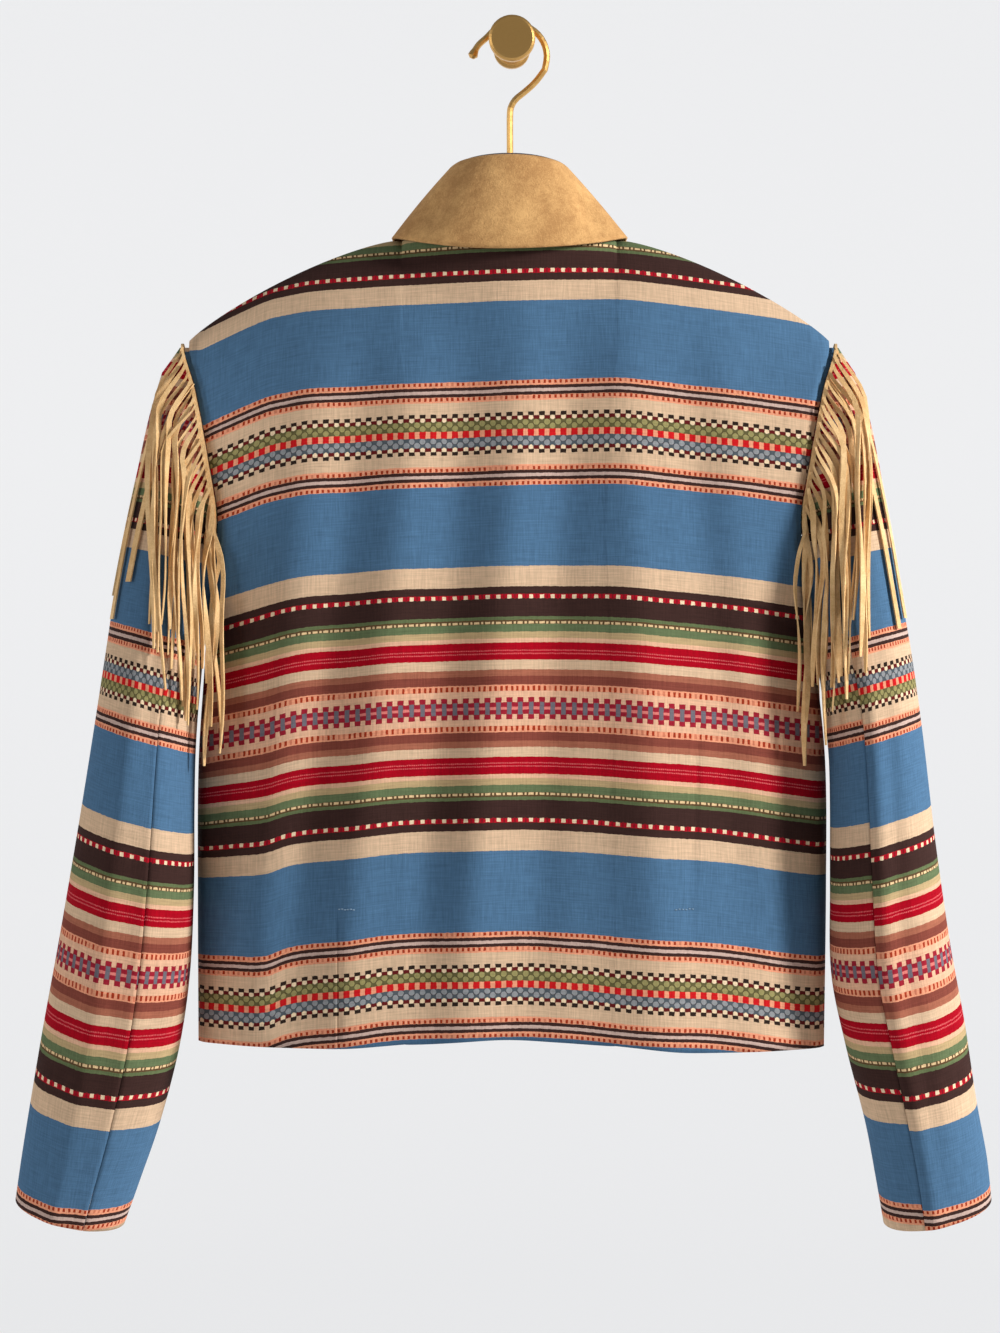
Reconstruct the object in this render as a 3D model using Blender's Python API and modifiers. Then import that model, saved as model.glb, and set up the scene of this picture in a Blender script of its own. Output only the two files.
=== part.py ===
"""A cropped western jacket with armhole fringe, on a hanger whose hook sits on a wall knob.

The frame has +Z up, +X to the right as the jacket's back is seen and +Y into the wall. The origin is
the centre of the knob's flat back face. Sizes are in millimetres until a mesh is made in metres.
"""

import math
from collections import namedtuple

import bmesh
import bpy
from mathutils import Vector
from mathutils.bvhtree import BVHTree

MM = 0.001
BACK = -1
FRONT = 1

# Driving sizes of the jacket
HANG_X = -2.0
RIDGE_Y = -48.0
CLOTH = 2.0
SUEDE = 2.0
SEAM = 0.45
UNDERARM_GAP = 0.5
NECK_POINT_GAP = 0.6
NECK_HALF = 76.0
NECK_Z = -143.0
SHOULDER_HALF = 231.0
SHOULDER_Z = -218.0
SHOULDER_CROWN = 13.5
CROWN_POWER = 0.6
UNDERARM_Z = -420.0
ARMHOLE_HALF_HEIGHT = (SHOULDER_Z - UNDERARM_Z) / 2
ARMHOLE_MIDDLE_Z = (SHOULDER_Z + UNDERARM_Z) / 2
HEM_Z = -713.0
NECK_RISE = {BACK: 3.0, FRONT: -64.0}
NECK_DEPTH = {BACK: 38.0, FRONT: 29.0}
BODY_DEPTH = {BACK: 60.0, FRONT: 33.0}
ARMHOLE_DEPTH = {BACK: 40.0, FRONT: 31.0}
ARMHOLE_SOFT_REACH = 165.0
RIDGE_LIP = 2.0
NECK_LIP_OUT = 1.2
NECK_LIP_DROP = 1.6
NECK_LIP_SIDE = 1.6
RIDGE_ROUND = 50.0
RIDGE_POWER = 0.75
NECK_FADE = 60.0
NECK_BLEND = 15.0
STRIP_TURN_ROWS = 1.5
SLEEVE_FOLD_SETTLE = 1.6
STRAND_UNEVEN_STEP = 2.3
STRAND_FIRST_LIFT = 3.0
NECK_SIDE_FADE = 25.0
NECK_POINT_WIDTH = 4.0
SIDE_POWER = 3.0
SEAM_EDGE_POWER = 8
FOLD_SETTLE = 2.2
FOLD_START = 90.0
FOLD_EDGE_POWER = 4
FRONT_OPENING = 1.6

# Steps of the cloth grids
NECK_STEPS = 6
SHOULDER_STEPS = 9
ARMHOLE_ROWS = 10
LOWER_ROWS = 8
LIP_ROW = 0.2

Outline = namedtuple("Outline", "z left right")
SIDE_OUTLINE = (
    Outline(-715, 221, 224), Outline(-600, 221.5, 225.5), Outline(-515, 221, 225),
    Outline(-450, 217, 219), Outline(-420, 214.5, 215), Outline(-345, 205, 205),
    Outline(-300, 211, 211), Outline(-250, 221, 221), Outline(-216, 231, 231), Outline(-140, 231, 231),
)

Hem = namedtuple("Hem", "x z")
HEM_LINE = (
    Hem(-216, -711), Hem(-128, -712), Hem(-65, -708), Hem(-8, -704),
    Hem(34, -706), Hem(90, -711), Hem(132, -715), Hem(218, -715),
)

Fold = namedtuple("Fold", "face x_top x_low width height_top height_low")
FOLDS = (
    Fold(BACK, -138, -182, 26, 2.0, 7.0),
    Fold(BACK, -70, -114, 24, 2.0, 5.5),
    Fold(BACK, 6, -28, 24, 2.5, 5.0),
    Fold(BACK, 84, 104, 30, 3.0, 6.5),
    Fold(BACK, 152, 182, 18, 2.0, 3.0),
    Fold(FRONT, -146, -160, 26, 1.5, 4.0),
    Fold(FRONT, -62, -78, 24, 1.5, 4.5),
    Fold(FRONT, 54, 66, 26, 1.5, 4.5),
    Fold(FRONT, 138, 158, 24, 1.5, 3.5),
)

Ring = namedtuple(
    "Ring", "outer_left outer_right outer_z inner_left inner_right inner_z half_depth axis_y bow lean")
SLEEVE_RINGS = (
    Ring(247, 246, -236, 221, 221, -430, 43, -51, -11, 0),
    Ring(257, 257, -272, 222, 222, -438, 46, -54, -7, 0),
    Ring(269, 268, -332, 223, 223, -456, 48, -58, -3, 0),
    Ring(279, 277, -390, 224, 225, -482, 49, -62, -1, 1),
    Ring(286, 285, -438, 224, 227, -512, 49, -65, 0, 2),
    Ring(295, 293, -498, 225, 228, -550, 48, -68, 0, 3),
    Ring(306, 301, -566, 226, 228, -602, 47, -68, 0, 4),
    Ring(319, 312, -640, 229, 231, -662, 45, -65, 0, 5),
    Ring(330, 323, -697, 236, 242, -715, 42, -59, 0, 6),
    Ring(340, 332, -752, 248, 253, -768, 39, -52, 0, 7),
    Ring(347, 340, -792, 262, 261, -808, 36, -46, 0, 8),
    Ring(352, 344, -824, 274, 267, -841, 34, -42, 0, 8.5),
)
SLEEVE_FRONT_SHARE = 0.84
SLEEVE_STRIP_TOP = 3.0
SLEEVE_STRIP_SIDE = 4.0
BACK_SEAM_ANGLE = 108.0
FRONT_SEAM_ANGLE = -108.0
SLEEVE_SEAM_TURN = 0.3
SLEEVE_SEAM_STRIP = 2.3
PANEL_STRIP = 3.0
SIDE_STRIP = 2.5

SleeveFold = namedtuple("SleeveFold", "side angle width height_top height_low")
SLEEVE_FOLDS = (
    SleeveFold(-1, 74, 13, 0.5, 3.5),
    SleeveFold(-1, 112, 12, 0.5, 2.5),
    SleeveFold(1, 98, 12, 2.0, 4.0),
    SleeveFold(-1, -84, 16, 1.0, 3.0),
    SleeveFold(1, -92, 16, 1.0, 3.0),
)

# Collar leaf and stand, by half width, depth behind or before the ridge, and height
FOLD_HALF = 40.0
FOLD_DEPTH = {BACK: 32.0, FRONT: 28.0}
FOLD_Z = {BACK: -83.5, FRONT: -140.0}
FOLD_SIDE_Z = -88.0
LEAF_HALF = 84.0
LEAF_DEPTH = {BACK: 52.0, FRONT: 43.0}
LEAF_Z = {BACK: -152.0, FRONT: -221.0}
LEAF_SIDE_Z = -140.0
LEAF_BULGE = 3.0
LEAF_SIDE_BULGE = 0.6
LEAF_BULGE_RISE = 0.4
FOLD_POWER = 1.5
LEAF_POWER = 1.8
LEAF_CLEARANCE = 1.4
LEAF_ROWS = 6
STAND_WALL = 1.5
STAND_INSET = 4.4
STAND_RISE = 1.0
STAND_GAP = 0.65
STAND_ROWS = 3
COLLAR_STEP = 90.0 / NECK_STEPS

# Fringe
STRANDS = 12
STRIP_CLEARANCE = 0.5
STRIP_TOP_CLEARANCE = 1.1
STRIP_THICKNESS = 1.2
STRIP_TOP_WIDTH = 2.0
STRIP_SIDE_WIDTH = 3.2
STRIP_ASIDE = 0.4
STRIP_TOP_Z = -229.0
STRIP_LOW_Z = -354.0
STRAND_WIDTH = 3.2
STRAND_THICKNESS = 1.0
STRAND_FIRST_X = 254.0
STRAND_LAST_X = 210.0
STRAND_END_Z = (-417.0, -500.0)
STRAND_CLEARANCE = 3.6
STRAND_BULGE = 3.0
STRAND_BULGE_DROP = 14.0
STRAND_DROPS = (4.0, 10.0, 17.0, 26.0, 45.0, 80.0, 120.0)
STRAND_SPREAD = 22.0
STRAND_UNEVEN = 9.0
STRAND_BULGE_REACH = 7.0
STRAND_TIP_SHARE = 0.75
STRIP_TOP_ANGLES = (7.0, 0.0, -7.0)

# Hanger, hook and knob
HANGER_HALF = 206.0
HANGER_DROP = 1.5
HANGER_CROWN = 12.0
HANGER_CROWN_POWER = 1.5
HANGER_HALF_HEIGHT = 13.0
HANGER_HALF_DEPTH = 5.5
HANGER_ROUND = 20.0
HANGER_STEPS = 22
HANGER_SIDES = 12
HANGER_END_SHARE = 0.97
HANGER_END_SIZE = 0.2
HANGER_END_POWER = 14
ARC_POINTS = 9
ARC_START = 145
ARC_STEP = 20.5
STEM_Z = -75.0
WIRE_SPLIT = 2.5
BALL_PLACE = 0.45
BALL_REACH = 0.5
BALL_END_SHARE = 0.7
WIRE_RADIUS = 2.3
STEM_X = -1.4
ARC_X = 1.2
ARC_Z = -11.0
ARC_RADIUS = 23.7
BALL_SWELL = 1.55
KNOB_SIDES = 36

HookPoint = namedtuple("HookPoint", "x z")
HOOK_BEND = (
    HookPoint(22.3, -21.5), HookPoint(16.0, -29.6), HookPoint(8.5, -36.3), HookPoint(3.0, -40.8),
    HookPoint(-0.2, -45.6), HookPoint(STEM_X, -52.0),
)
HOOK_TIP = (HookPoint(-28.6, -12.0), HookPoint(-26.6, -7.0), HookPoint(-23.4, -2.0))

KnobStep = namedtuple("KnobStep", "radius reach")
KNOB_PROFILE = (
    KnobStep(0.0, 68.0), KnobStep(14.6, 68.0), KnobStep(15.8, 67.5), KnobStep(16.5, 66.2),
    KnobStep(16.5, 61.2), KnobStep(15.6, 59.8), KnobStep(14.0, 59.2), KnobStep(11.4, 58.6),
    KnobStep(10.0, 57.0), KnobStep(10.0, 6.6), KnobStep(11.0, 5.4), KnobStep(13.0, 4.8),
    KnobStep(13.0, 0.0), KnobStep(0.0, 0.0),
)


def clear_scene():
    """Remove every object that the new file starts with."""
    for item in list(bpy.data.objects):
        bpy.data.objects.remove(item, do_unlink=True)


def curve_through(rows, key, value, place):
    """Read a smooth curve through a table's rows at a place of its key column."""
    keys = [getattr(row, key) for row in rows]
    values = [getattr(row, value) for row in rows]
    return smooth_read(keys, values, place)


def smooth_read(keys, values, place):
    """Cubic curve through the points, with slopes from each point's neighbours."""
    last = len(keys) - 1
    if place <= keys[0]:
        return values[0]
    if place >= keys[last]:
        return values[last]
    cell = max(i for i in range(last) if keys[i] <= place)
    slopes = []
    for i in (cell, cell + 1):
        low = max(i - 1, 0)
        high = min(i + 1, last)
        slopes.append((values[high] - values[low]) / (keys[high] - keys[low]))
    span = keys[cell + 1] - keys[cell]
    u = (place - keys[cell]) / span
    start = (1 + 2 * u) * (1 - u) ** 2 * values[cell] + u * (1 - u) ** 2 * span * slopes[0]
    end = u * u * (3 - 2 * u) * values[cell + 1] + u * u * (u - 1) * span * slopes[1]
    return start + end


def ease(u):
    """Smooth step from 0 to 1."""
    u = min(max(u, 0.0), 1.0)
    return u * u * (3 - 2 * u)


def half_width(s, z):
    """Distance from the centre to the side edge, on the side that s names by its sign."""
    return curve_through(SIDE_OUTLINE, "z", "left" if s < 0 else "right", z)


def neckline(face, bend):
    """Height and depth of the neckline; bend is 0 at the shoulder seam and 1 at the centre."""
    if face == FRONT:
        return NECK_Z + NECK_RISE[face] * bend ** 1.6, NECK_DEPTH[face] * bend ** 0.85
    return NECK_Z + NECK_RISE[face] * bend, NECK_DEPTH[face] * bend


def shoulder_line(x, crown, power):
    """Height of the shoulder at a distance from the centre, crowned between neck and armhole."""
    share = (x - NECK_HALF) / (SHOULDER_HALF - NECK_HALF)
    rise = crown * max(0.0, math.sin(math.pi * min(max(share, 0.0), 1.0))) ** power
    return NECK_Z + (SHOULDER_Z - NECK_Z) * share + rise


def top_edge(face, s):
    """Height and depth of a panel's top edge: the shoulder seam, and the neckline between."""
    x = abs(s) * SHOULDER_HALF
    if x >= NECK_HALF:
        return shoulder_line(x, SHOULDER_CROWN, CROWN_POWER), 0.0
    return neckline(face, math.sqrt(1 - (x / NECK_HALF) ** 2))


def row_share(row):
    """Share of the way from the top edge to the hem; armhole rows are even in angle."""
    armhole = (UNDERARM_Z - SHOULDER_Z) / (HEM_Z - SHOULDER_Z)
    if row <= ARMHOLE_ROWS:
        return armhole * (1 - math.cos(math.pi * row / ARMHOLE_ROWS)) / 2
    return armhole + (1 - armhole) * (row - ARMHOLE_ROWS) / LOWER_ROWS


def fold_height(face, x, z):
    """Sum of the soft vertical folds at a place on a panel."""
    down = ease((SHOULDER_Z - z) / (SHOULDER_Z - HEM_Z))
    total = 0.0
    for fold in FOLDS:
        if fold.face == face:
            centre = fold.x_top + (fold.x_low - fold.x_top) * down
            height = fold.height_top + (fold.height_low - fold.height_top) * min(1.0, FOLD_SETTLE * down)
            total += height * math.exp(-((x - centre) / fold.width) ** 2)
    return total


def armhole_depth(face, s, row, z):
    """Depth of the armhole seam at the side, let down softly under the arm inside the panel."""
    turn = min(math.pi, abs(z - ARMHOLE_MIDDLE_Z) / ARMHOLE_SOFT_REACH * math.pi)
    soft = (1 + math.cos(turn)) / 2
    seam = math.sin(math.pi * row / ARMHOLE_ROWS) if row < ARMHOLE_ROWS else 0.0
    at_seam = abs(s) ** SEAM_EDGE_POWER
    return ARMHOLE_DEPTH[face] * (soft + (seam - soft) * at_seam)


def panel_point(face, s, row):
    """Outer point of the back or the fronts; s runs across from -1 to 1."""
    z_top, neck_depth = top_edge(face, s)
    z_low = curve_through(HEM_LINE, "x", "z", s * SHOULDER_HALF)
    z = z_top + row_share(row) * (z_low - z_top)
    x = s * half_width(s, z)
    drop = z_top - z
    full = BODY_DEPTH[face]
    off_neck = max(0.0, 1 - (s * SHOULDER_HALF / NECK_HALF) ** 2) ** 0.5
    near_neck = neck_depth * off_neck ** (drop / NECK_BLEND) * math.exp(-drop / NECK_FADE)
    form = full - (full - near_neck) * math.exp(-(drop / RIDGE_ROUND) ** RIDGE_POWER)
    edge = armhole_depth(face, s, row, z)
    across = math.sqrt(max(0.0, 1 - abs(s) ** SIDE_POWER))
    first = min(1.0, row / LIP_ROW)
    lip = first * (RIDGE_LIP + (NECK_LIP_OUT - RIDGE_LIP) * off_neck)
    z -= first * NECK_LIP_DROP * off_neck
    aside = NECK_LIP_SIDE * 4 * off_neck * (1 - off_neck) * math.exp(-drop / NECK_SIDE_FADE)
    x += first * math.copysign(aside, s)
    folds = fold_height(face, x, z) * (1 - abs(s) ** FOLD_EDGE_POWER) * ease(drop / FOLD_START)
    depth = edge + (form + lip - edge) * across + folds
    if abs(s) == 1:
        depth += UNDERARM_GAP * math.exp(-(row - ARMHOLE_ROWS) ** 2)
    if row == 0:
        depth += NECK_POINT_GAP * math.exp(-((abs(x) - NECK_HALF) / NECK_POINT_WIDTH) ** 2)
    return Vector((HANG_X + x, RIDGE_Y + face * (SEAM / 2 + depth), z))


def seam_strip_point(face, side, row):
    """Point of the narrow strip beside the armhole or the side seam, square to that seam."""
    edge = panel_point(face, side, row)
    armhole = ease((ARMHOLE_ROWS - row) / STRIP_TURN_ROWS)
    inward = Vector((-side * PANEL_STRIP, 0, 0))
    along_side = Vector((0, face * SIDE_STRIP, 0))
    return edge + inward * armhole + along_side * (1 - armhole)


def row_places():
    rows = [0.0, LIP_ROW]
    rows.extend(float(i) for i in range(1, ARMHOLE_ROWS + LOWER_ROWS + 1))
    return rows


def half_columns():
    """Places across one half of the body, from the centre to the edge."""
    neck = NECK_HALF / SHOULDER_HALF
    columns = [neck * math.sin(math.radians(COLLAR_STEP * i)) for i in range(NECK_STEPS + 1)]
    for i in range(1, SHOULDER_STEPS):
        u = i / SHOULDER_STEPS
        columns.append(neck + (1 - neck) * (1 - (1 - u) ** 1.3))
    return columns


def panel_row(face, row, columns_left, columns_right):
    points = []
    if columns_left:
        points.append(panel_point(face, -1, row))
        points.append(seam_strip_point(face, -1, row))
        points.extend(panel_point(face, -s, row) for s in reversed(columns_left))
    if columns_right:
        points.extend(panel_point(face, s, row) for s in columns_right)
        points.append(seam_strip_point(face, 1, row))
        points.append(panel_point(face, 1, row))
    return points


def back_grid():
    columns = half_columns()
    return [panel_row(BACK, row, columns, columns[1:]) for row in row_places()]


def front_grid(side):
    columns = half_columns()
    columns[0] = FRONT_OPENING / 2 / SHOULDER_HALF
    left = columns if side < 0 else []
    right = columns if side > 0 else []
    return [panel_row(FRONT, row, left, right) for row in row_places()]


def sleeve_seams(under):
    """Angles of the seams that bound the upper or the under sleeve."""
    if under:
        return BACK_SEAM_ANGLE, FRONT_SEAM_ANGLE + 360
    return FRONT_SEAM_ANGLE, BACK_SEAM_ANGLE


def wrap_turn(angle):
    return angle - 360 if angle > 180 else angle


def sleeve_angles(under):
    """Angles across a sleeve piece, with narrow strips beside its two seams."""
    low, high = sleeve_seams(under)
    turns = [180.0 * row / ARMHOLE_ROWS for row in row_places() if row <= ARMHOLE_ROWS]
    turns = [-turn for turn in reversed(turns)] + turns[1:] + [turn + 180 for turn in turns[2:]]
    inside = [turn for turn in turns if low + SLEEVE_SEAM_STRIP < turn < high - SLEEVE_SEAM_STRIP]
    start = [low + SLEEVE_SEAM_TURN, low + SLEEVE_SEAM_STRIP]
    end = [high - SLEEVE_SEAM_STRIP, high - SLEEVE_SEAM_TURN]
    return [wrap_turn(turn) for turn in start + inside + end]


def armhole_point(side, angle):
    """Point of the armhole seam, moved out by the seam's gap onto the sleeve."""
    face = BACK if angle >= 0 else FRONT
    row = abs(angle) / 180.0 * ARMHOLE_ROWS
    point = panel_point(face, side, row)
    if angle in (0.0, 180.0):
        point.y = RIDGE_Y
    return point + Vector((side * SEAM, 0, 0))


def seam_point(side, angle):
    """Point of the sleeve's edge, on the straight stretch between two rows of the panel."""
    row = abs(angle) / 180.0 * ARMHOLE_ROWS
    low = max(place for place in row_places() if place <= row)
    high = min(place for place in row_places() if place >= row)
    turn = math.copysign(180.0 / ARMHOLE_ROWS, angle)
    ends = (armhole_point(side, low * turn), armhole_point(side, high * turn))
    return between(ends, (row - low) / (high - low) if high > low else 0.0)


def sleeve_fold(side, share, angle):
    total = 0.0
    for fold in SLEEVE_FOLDS:
        if fold.side == side:
            height = fold.height_top + (fold.height_low - fold.height_top) * ease(share * SLEEVE_FOLD_SETTLE)
            total += height * math.exp(-((angle - fold.angle) / fold.width) ** 2)
    return total


def sleeve_point(side, number, angle):
    """Outer point of a sleeve on one of the table's rings."""
    ring = SLEEVE_RINGS[number]
    outer = ring.outer_left if side < 0 else ring.outer_right
    inner = ring.inner_left if side < 0 else ring.inner_right
    share = number / (len(SLEEVE_RINGS) - 1)
    turn = math.radians(angle)
    depth = ring.half_depth * (1 if angle >= 0 else SLEEVE_FRONT_SHARE)
    depth += sleeve_fold(side, share, angle)
    outward = (1 + math.cos(turn)) / 2
    x = inner + (outer - inner) * outward + ring.bow * abs(math.sin(turn))
    z = ring.inner_z + (ring.outer_z - ring.inner_z) * outward - ring.lean * math.sin(turn)
    return Vector((HANG_X + side * x, ring.axis_y - depth * math.sin(turn), z))


def sleeve_row(under, read):
    """One row across a sleeve piece, whose edges lie on a flat strip across each seam."""
    angles = sleeve_angles(under)
    row = [read(angle) for angle in angles]
    share = 0.5 + SLEEVE_SEAM_TURN / SLEEVE_SEAM_STRIP / 2
    low, high = sleeve_seams(under)
    row[0] = between((read(wrap_turn(low - SLEEVE_SEAM_STRIP)), row[1]), share)
    row[-1] = between((read(wrap_turn(high + SLEEVE_SEAM_STRIP)), row[-2]), share)
    return row


def sleeve_grid(side, under):
    rows = [sleeve_row(under, lambda angle: seam_point(side, angle))]
    rows.append(sleeve_row(under, lambda angle: seam_point(side, angle) + cap_strip(side, angle)))
    for number in range(len(SLEEVE_RINGS)):
        rows.append(sleeve_row(under, lambda angle: sleeve_point(side, number, angle)))
    return rows


def cap_strip(side, angle):
    """Step from the armhole seam to the first row of the sleeve head."""
    reach = SLEEVE_STRIP_TOP + SLEEVE_STRIP_SIDE * math.sin(math.radians(angle)) ** 2
    return Vector((side * reach, 0, 0))


def between(points, share):
    return points[0] + (points[1] - points[0]) * share


def collar_angles():
    angles = [COLLAR_STEP * i for i in range(int(180 / COLLAR_STEP))]
    return [-angle for angle in reversed(angles[1:])] + angles


def collar_ring(half, depth, side_z, end_z, angle, power):
    """Point on an oval about the neck; angle 0 is the centre back, 180 the centre front."""
    turn = math.radians(angle)
    face = BACK if abs(angle) <= 90 else FRONT
    bend = abs(math.cos(turn))
    z = side_z + (end_z[face] - side_z) * bend ** power
    return Vector((HANG_X + half * math.sin(turn), RIDGE_Y + face * depth[face] * bend, z))


def leaf_ends(angle):
    fold = collar_ring(FOLD_HALF, FOLD_DEPTH, FOLD_SIDE_Z, FOLD_Z, angle, FOLD_POWER)
    low = collar_ring(LEAF_HALF, LEAF_DEPTH, LEAF_SIDE_Z, LEAF_Z, angle, LEAF_POWER)
    return fold, low


def leaf_grid(trees):
    """Turned-down leaf, pushed clear of the panels where it lies over them."""
    rows = []
    for i in range(LEAF_ROWS + 1):
        share = i / LEAF_ROWS
        row = []
        for angle in collar_angles():
            fold, low = leaf_ends(angle)
            point = between((fold, low), share)
            turn = math.radians(angle)
            out = Vector((math.sin(turn), -math.cos(turn), LEAF_BULGE_RISE))
            bulge = LEAF_SIDE_BULGE + (LEAF_BULGE - LEAF_SIDE_BULGE) * abs(math.cos(turn))
            point += out * bulge * math.sin(math.pi * share)
            face = BACK if abs(angle) <= 90 else FRONT
            surface = surface_y(trees[face], face, point.x, point.z)
            if surface is not None:
                clear = surface + face * (SUEDE + LEAF_CLEARANCE)
                point.y = face * max(face * point.y, face * clear)
            row.append(point)
        rows.append(row)
    return rows


def stand_grid():
    """Stand between the neckline and the fold, inside the leaf."""
    rows = []
    for i in range(STAND_ROWS + 1):
        row = []
        for angle in collar_angles():
            face = BACK if abs(angle) <= 90 else FRONT
            turn = math.radians(angle)
            height, depth = neckline(face, abs(math.cos(turn)))
            y = RIDGE_Y + face * (SEAM / 2 + depth)
            neck = Vector((HANG_X + NECK_HALF * math.sin(turn), y, height + STAND_GAP))
            fold = leaf_ends(angle)[0]
            inset = Vector((-math.sin(turn), math.cos(turn), 0)) * STAND_INSET
            fold = fold + inset + Vector((0, 0, STAND_RISE))
            row.append(between((fold, neck), i / STAND_ROWS))
        rows.append(row)
    return rows


def surface_tree(grids):
    """Search tree over open grids, used to lay pieces on the cloth."""
    points = []
    faces = []
    for grid in grids:
        width = len(grid[0])
        start = len(points)
        for row in grid:
            points.extend(row)
        for r in range(len(grid) - 1):
            for c in range(width - 1):
                here = start + r * width + c
                faces.append((here, here + 1, here + width + 1, here + width))
    return BVHTree.FromPolygons(points, faces)


def surface_y(tree, face, x, z):
    """Outermost y of the cloth at x and z on one face, or None beside it."""
    start = Vector((x, face * 400, z))
    hit = tree.ray_cast(start, Vector((0, -face, 0)))
    return hit[0].y if hit[0] else None


def make_material(name, colour, roughness, metallic=0.0):
    material = bpy.data.materials.new(name)
    material.use_nodes = True
    shader = material.node_tree.nodes["Principled BSDF"]
    shader.inputs["Base Color"].default_value = (*colour, 1)
    shader.inputs["Roughness"].default_value = roughness
    shader.inputs["Metallic"].default_value = metallic
    return material


def add_mesh(name, points, faces, material, collection):
    """Mesh object from points in millimetres, with its faces turned to point out."""
    mesh = bpy.data.meshes.new(name)
    mesh.from_pydata([point * MM for point in points], [], faces)
    mesh.materials.append(material)
    item = bpy.data.objects.new(name, mesh)
    collection.objects.link(item)
    mesh.shade_smooth()
    return item


def add_wall(name, grid, flip, thickness, material, collection):
    """Cloth wall: an open grid of outer points, thickened inward."""
    width = len(grid[0])
    points = [point for row in grid for point in row]
    faces = []
    for r in range(len(grid) - 1):
        for c in range(width - 1):
            here = r * width + c
            face = (here, here + 1, here + width + 1, here + width)
            faces.append(tuple(reversed(face)) if flip else face)
    item = add_mesh(name, points, faces, material, collection)
    wall = item.modifiers.new("cloth", "SOLIDIFY")
    wall.thickness = thickness * MM
    wall.offset = -1
    return item


def strip_ring(side, angle):
    """Four corners of the fringe strip's section where it crosses the armhole seam."""
    turn = math.radians(angle)
    seam = armhole_point(side, angle)
    face = BACK if angle >= 0 else FRONT
    out = Vector((0, face * abs(math.sin(turn)) / ARMHOLE_DEPTH[face], math.cos(turn) / ARMHOLE_HALF_HEIGHT))
    out.normalize()
    wide = STRIP_TOP_WIDTH + STRIP_SIDE_WIDTH * math.sin(turn) ** 2
    clearance = STRIP_CLEARANCE + STRIP_TOP_CLEARANCE * math.cos(turn) ** 2
    near = seam + Vector((side * STRIP_ASIDE, 0, 0)) + out * clearance
    far = near + Vector((side * wide, 0, 0))
    return [near + out * STRIP_THICKNESS, far + out * STRIP_THICKNESS, far, near], out


def strand_angles(sign):
    """Edges of the strand roots on the back or front half, even in height."""
    angles = []
    for i in range(STRANDS + 1):
        z = STRIP_TOP_Z + (STRIP_LOW_Z - STRIP_TOP_Z) * i / STRANDS
        angles.append(sign * math.degrees(math.acos((z - ARMHOLE_MIDDLE_Z) / ARMHOLE_HALF_HEIGHT)))
    return angles


def strand_rings(side, face, number, root, out, tree):
    """Rings of four corners down one strand, which hangs clear over the cloth."""
    share = number / (STRANDS - 1)
    uneven = STRAND_UNEVEN * math.sin(number * STRAND_UNEVEN_STEP + side + face)
    end_x = STRAND_FIRST_X + (STRAND_LAST_X - STRAND_FIRST_X) * share
    end_z = STRAND_END_Z[0] + (STRAND_END_Z[1] - STRAND_END_Z[0]) * share + uneven
    rings = []
    y = (root + out * STRAND_FIRST_LIFT).y
    length = root.z - end_z
    for drop in STRAND_DROPS + (length,):
        z = root.z - drop
        x = root.x + (HANG_X + side * end_x - root.x) * ease(drop / STRAND_SPREAD)
        bulge = STRAND_BULGE * math.exp(-((drop - STRAND_BULGE_DROP) / STRAND_BULGE_REACH) ** 2)
        for across in (-STRAND_WIDTH, 0, STRAND_WIDTH):
            surface = surface_y(tree, face, x + across, z)
            if surface is not None:
                y = face * max(face * y, face * surface + STRAND_CLEARANCE)
        width = STRAND_WIDTH / 2 * (STRAND_TIP_SHARE if drop == length else 1.0)
        thick = face * STRAND_THICKNESS / 2
        far = y + face * bulge + thick
        near = y + face * bulge - thick
        rings.append([
            Vector((x - side * width, far, z)), Vector((x + side * width, far, z)),
            Vector((x + side * width, near, z)), Vector((x - side * width, near, z)),
        ])
    return rings


def bridge(faces, first, second, open_side=None):
    """Side faces between two rings of point numbers, leaving out one side."""
    for c in range(4):
        if c != open_side:
            nxt = (c + 1) % 4
            faces.append((first[c], first[nxt], second[nxt], second[c]))


def add_ring(points, ring):
    start = len(points)
    points.extend(ring)
    return [start, start + 1, start + 2, start + 3]


def add_fringe(name, side, trees, material, collection):
    """Strip round the top of one armhole, with strands grown from its outer faces."""
    points = []
    faces = []
    back = strand_angles(1)
    front = strand_angles(-1)
    angles = list(reversed(back)) + list(STRIP_TOP_ANGLES) + front
    rings = []
    for angle in angles:
        corners, out = strip_ring(side, angle)
        rings.append(add_ring(points, corners))
    count = len(angles)
    for i in range(count - 1):
        over_top = STRANDS <= i <= STRANDS + len(STRIP_TOP_ANGLES)
        bridge(faces, rings[i], rings[i + 1], None if over_top else 0)
        if over_top:
            continue
        face = BACK if i < STRANDS else FRONT
        number = STRANDS - 1 - i if face == BACK else i - STRANDS - len(STRIP_TOP_ANGLES) - 1
        upper = rings[i + 1] if face == BACK else rings[i]
        lower = rings[i] if face == BACK else rings[i + 1]
        quad = [upper[0], upper[1], lower[1], lower[0]]
        root = sum((points[q] for q in quad), Vector()) / 4
        out = strip_ring(side, (angles[i] + angles[i + 1]) / 2)[1]
        for ring in strand_rings(side, face, number, root, out, trees[face]):
            below = add_ring(points, ring)
            bridge(faces, quad, below)
            quad = below
        faces.append(tuple(quad))
    faces.append(tuple(rings[0]))
    faces.append(tuple(reversed(rings[-1])))
    item = add_mesh(name, points, faces, material, collection)
    face_outward(item)
    return item


def face_outward(item):
    shape = bmesh.new()
    shape.from_mesh(item.data)
    bmesh.ops.recalc_face_normals(shape, faces=shape.faces)
    shape.to_mesh(item.data)
    shape.free()


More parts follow.
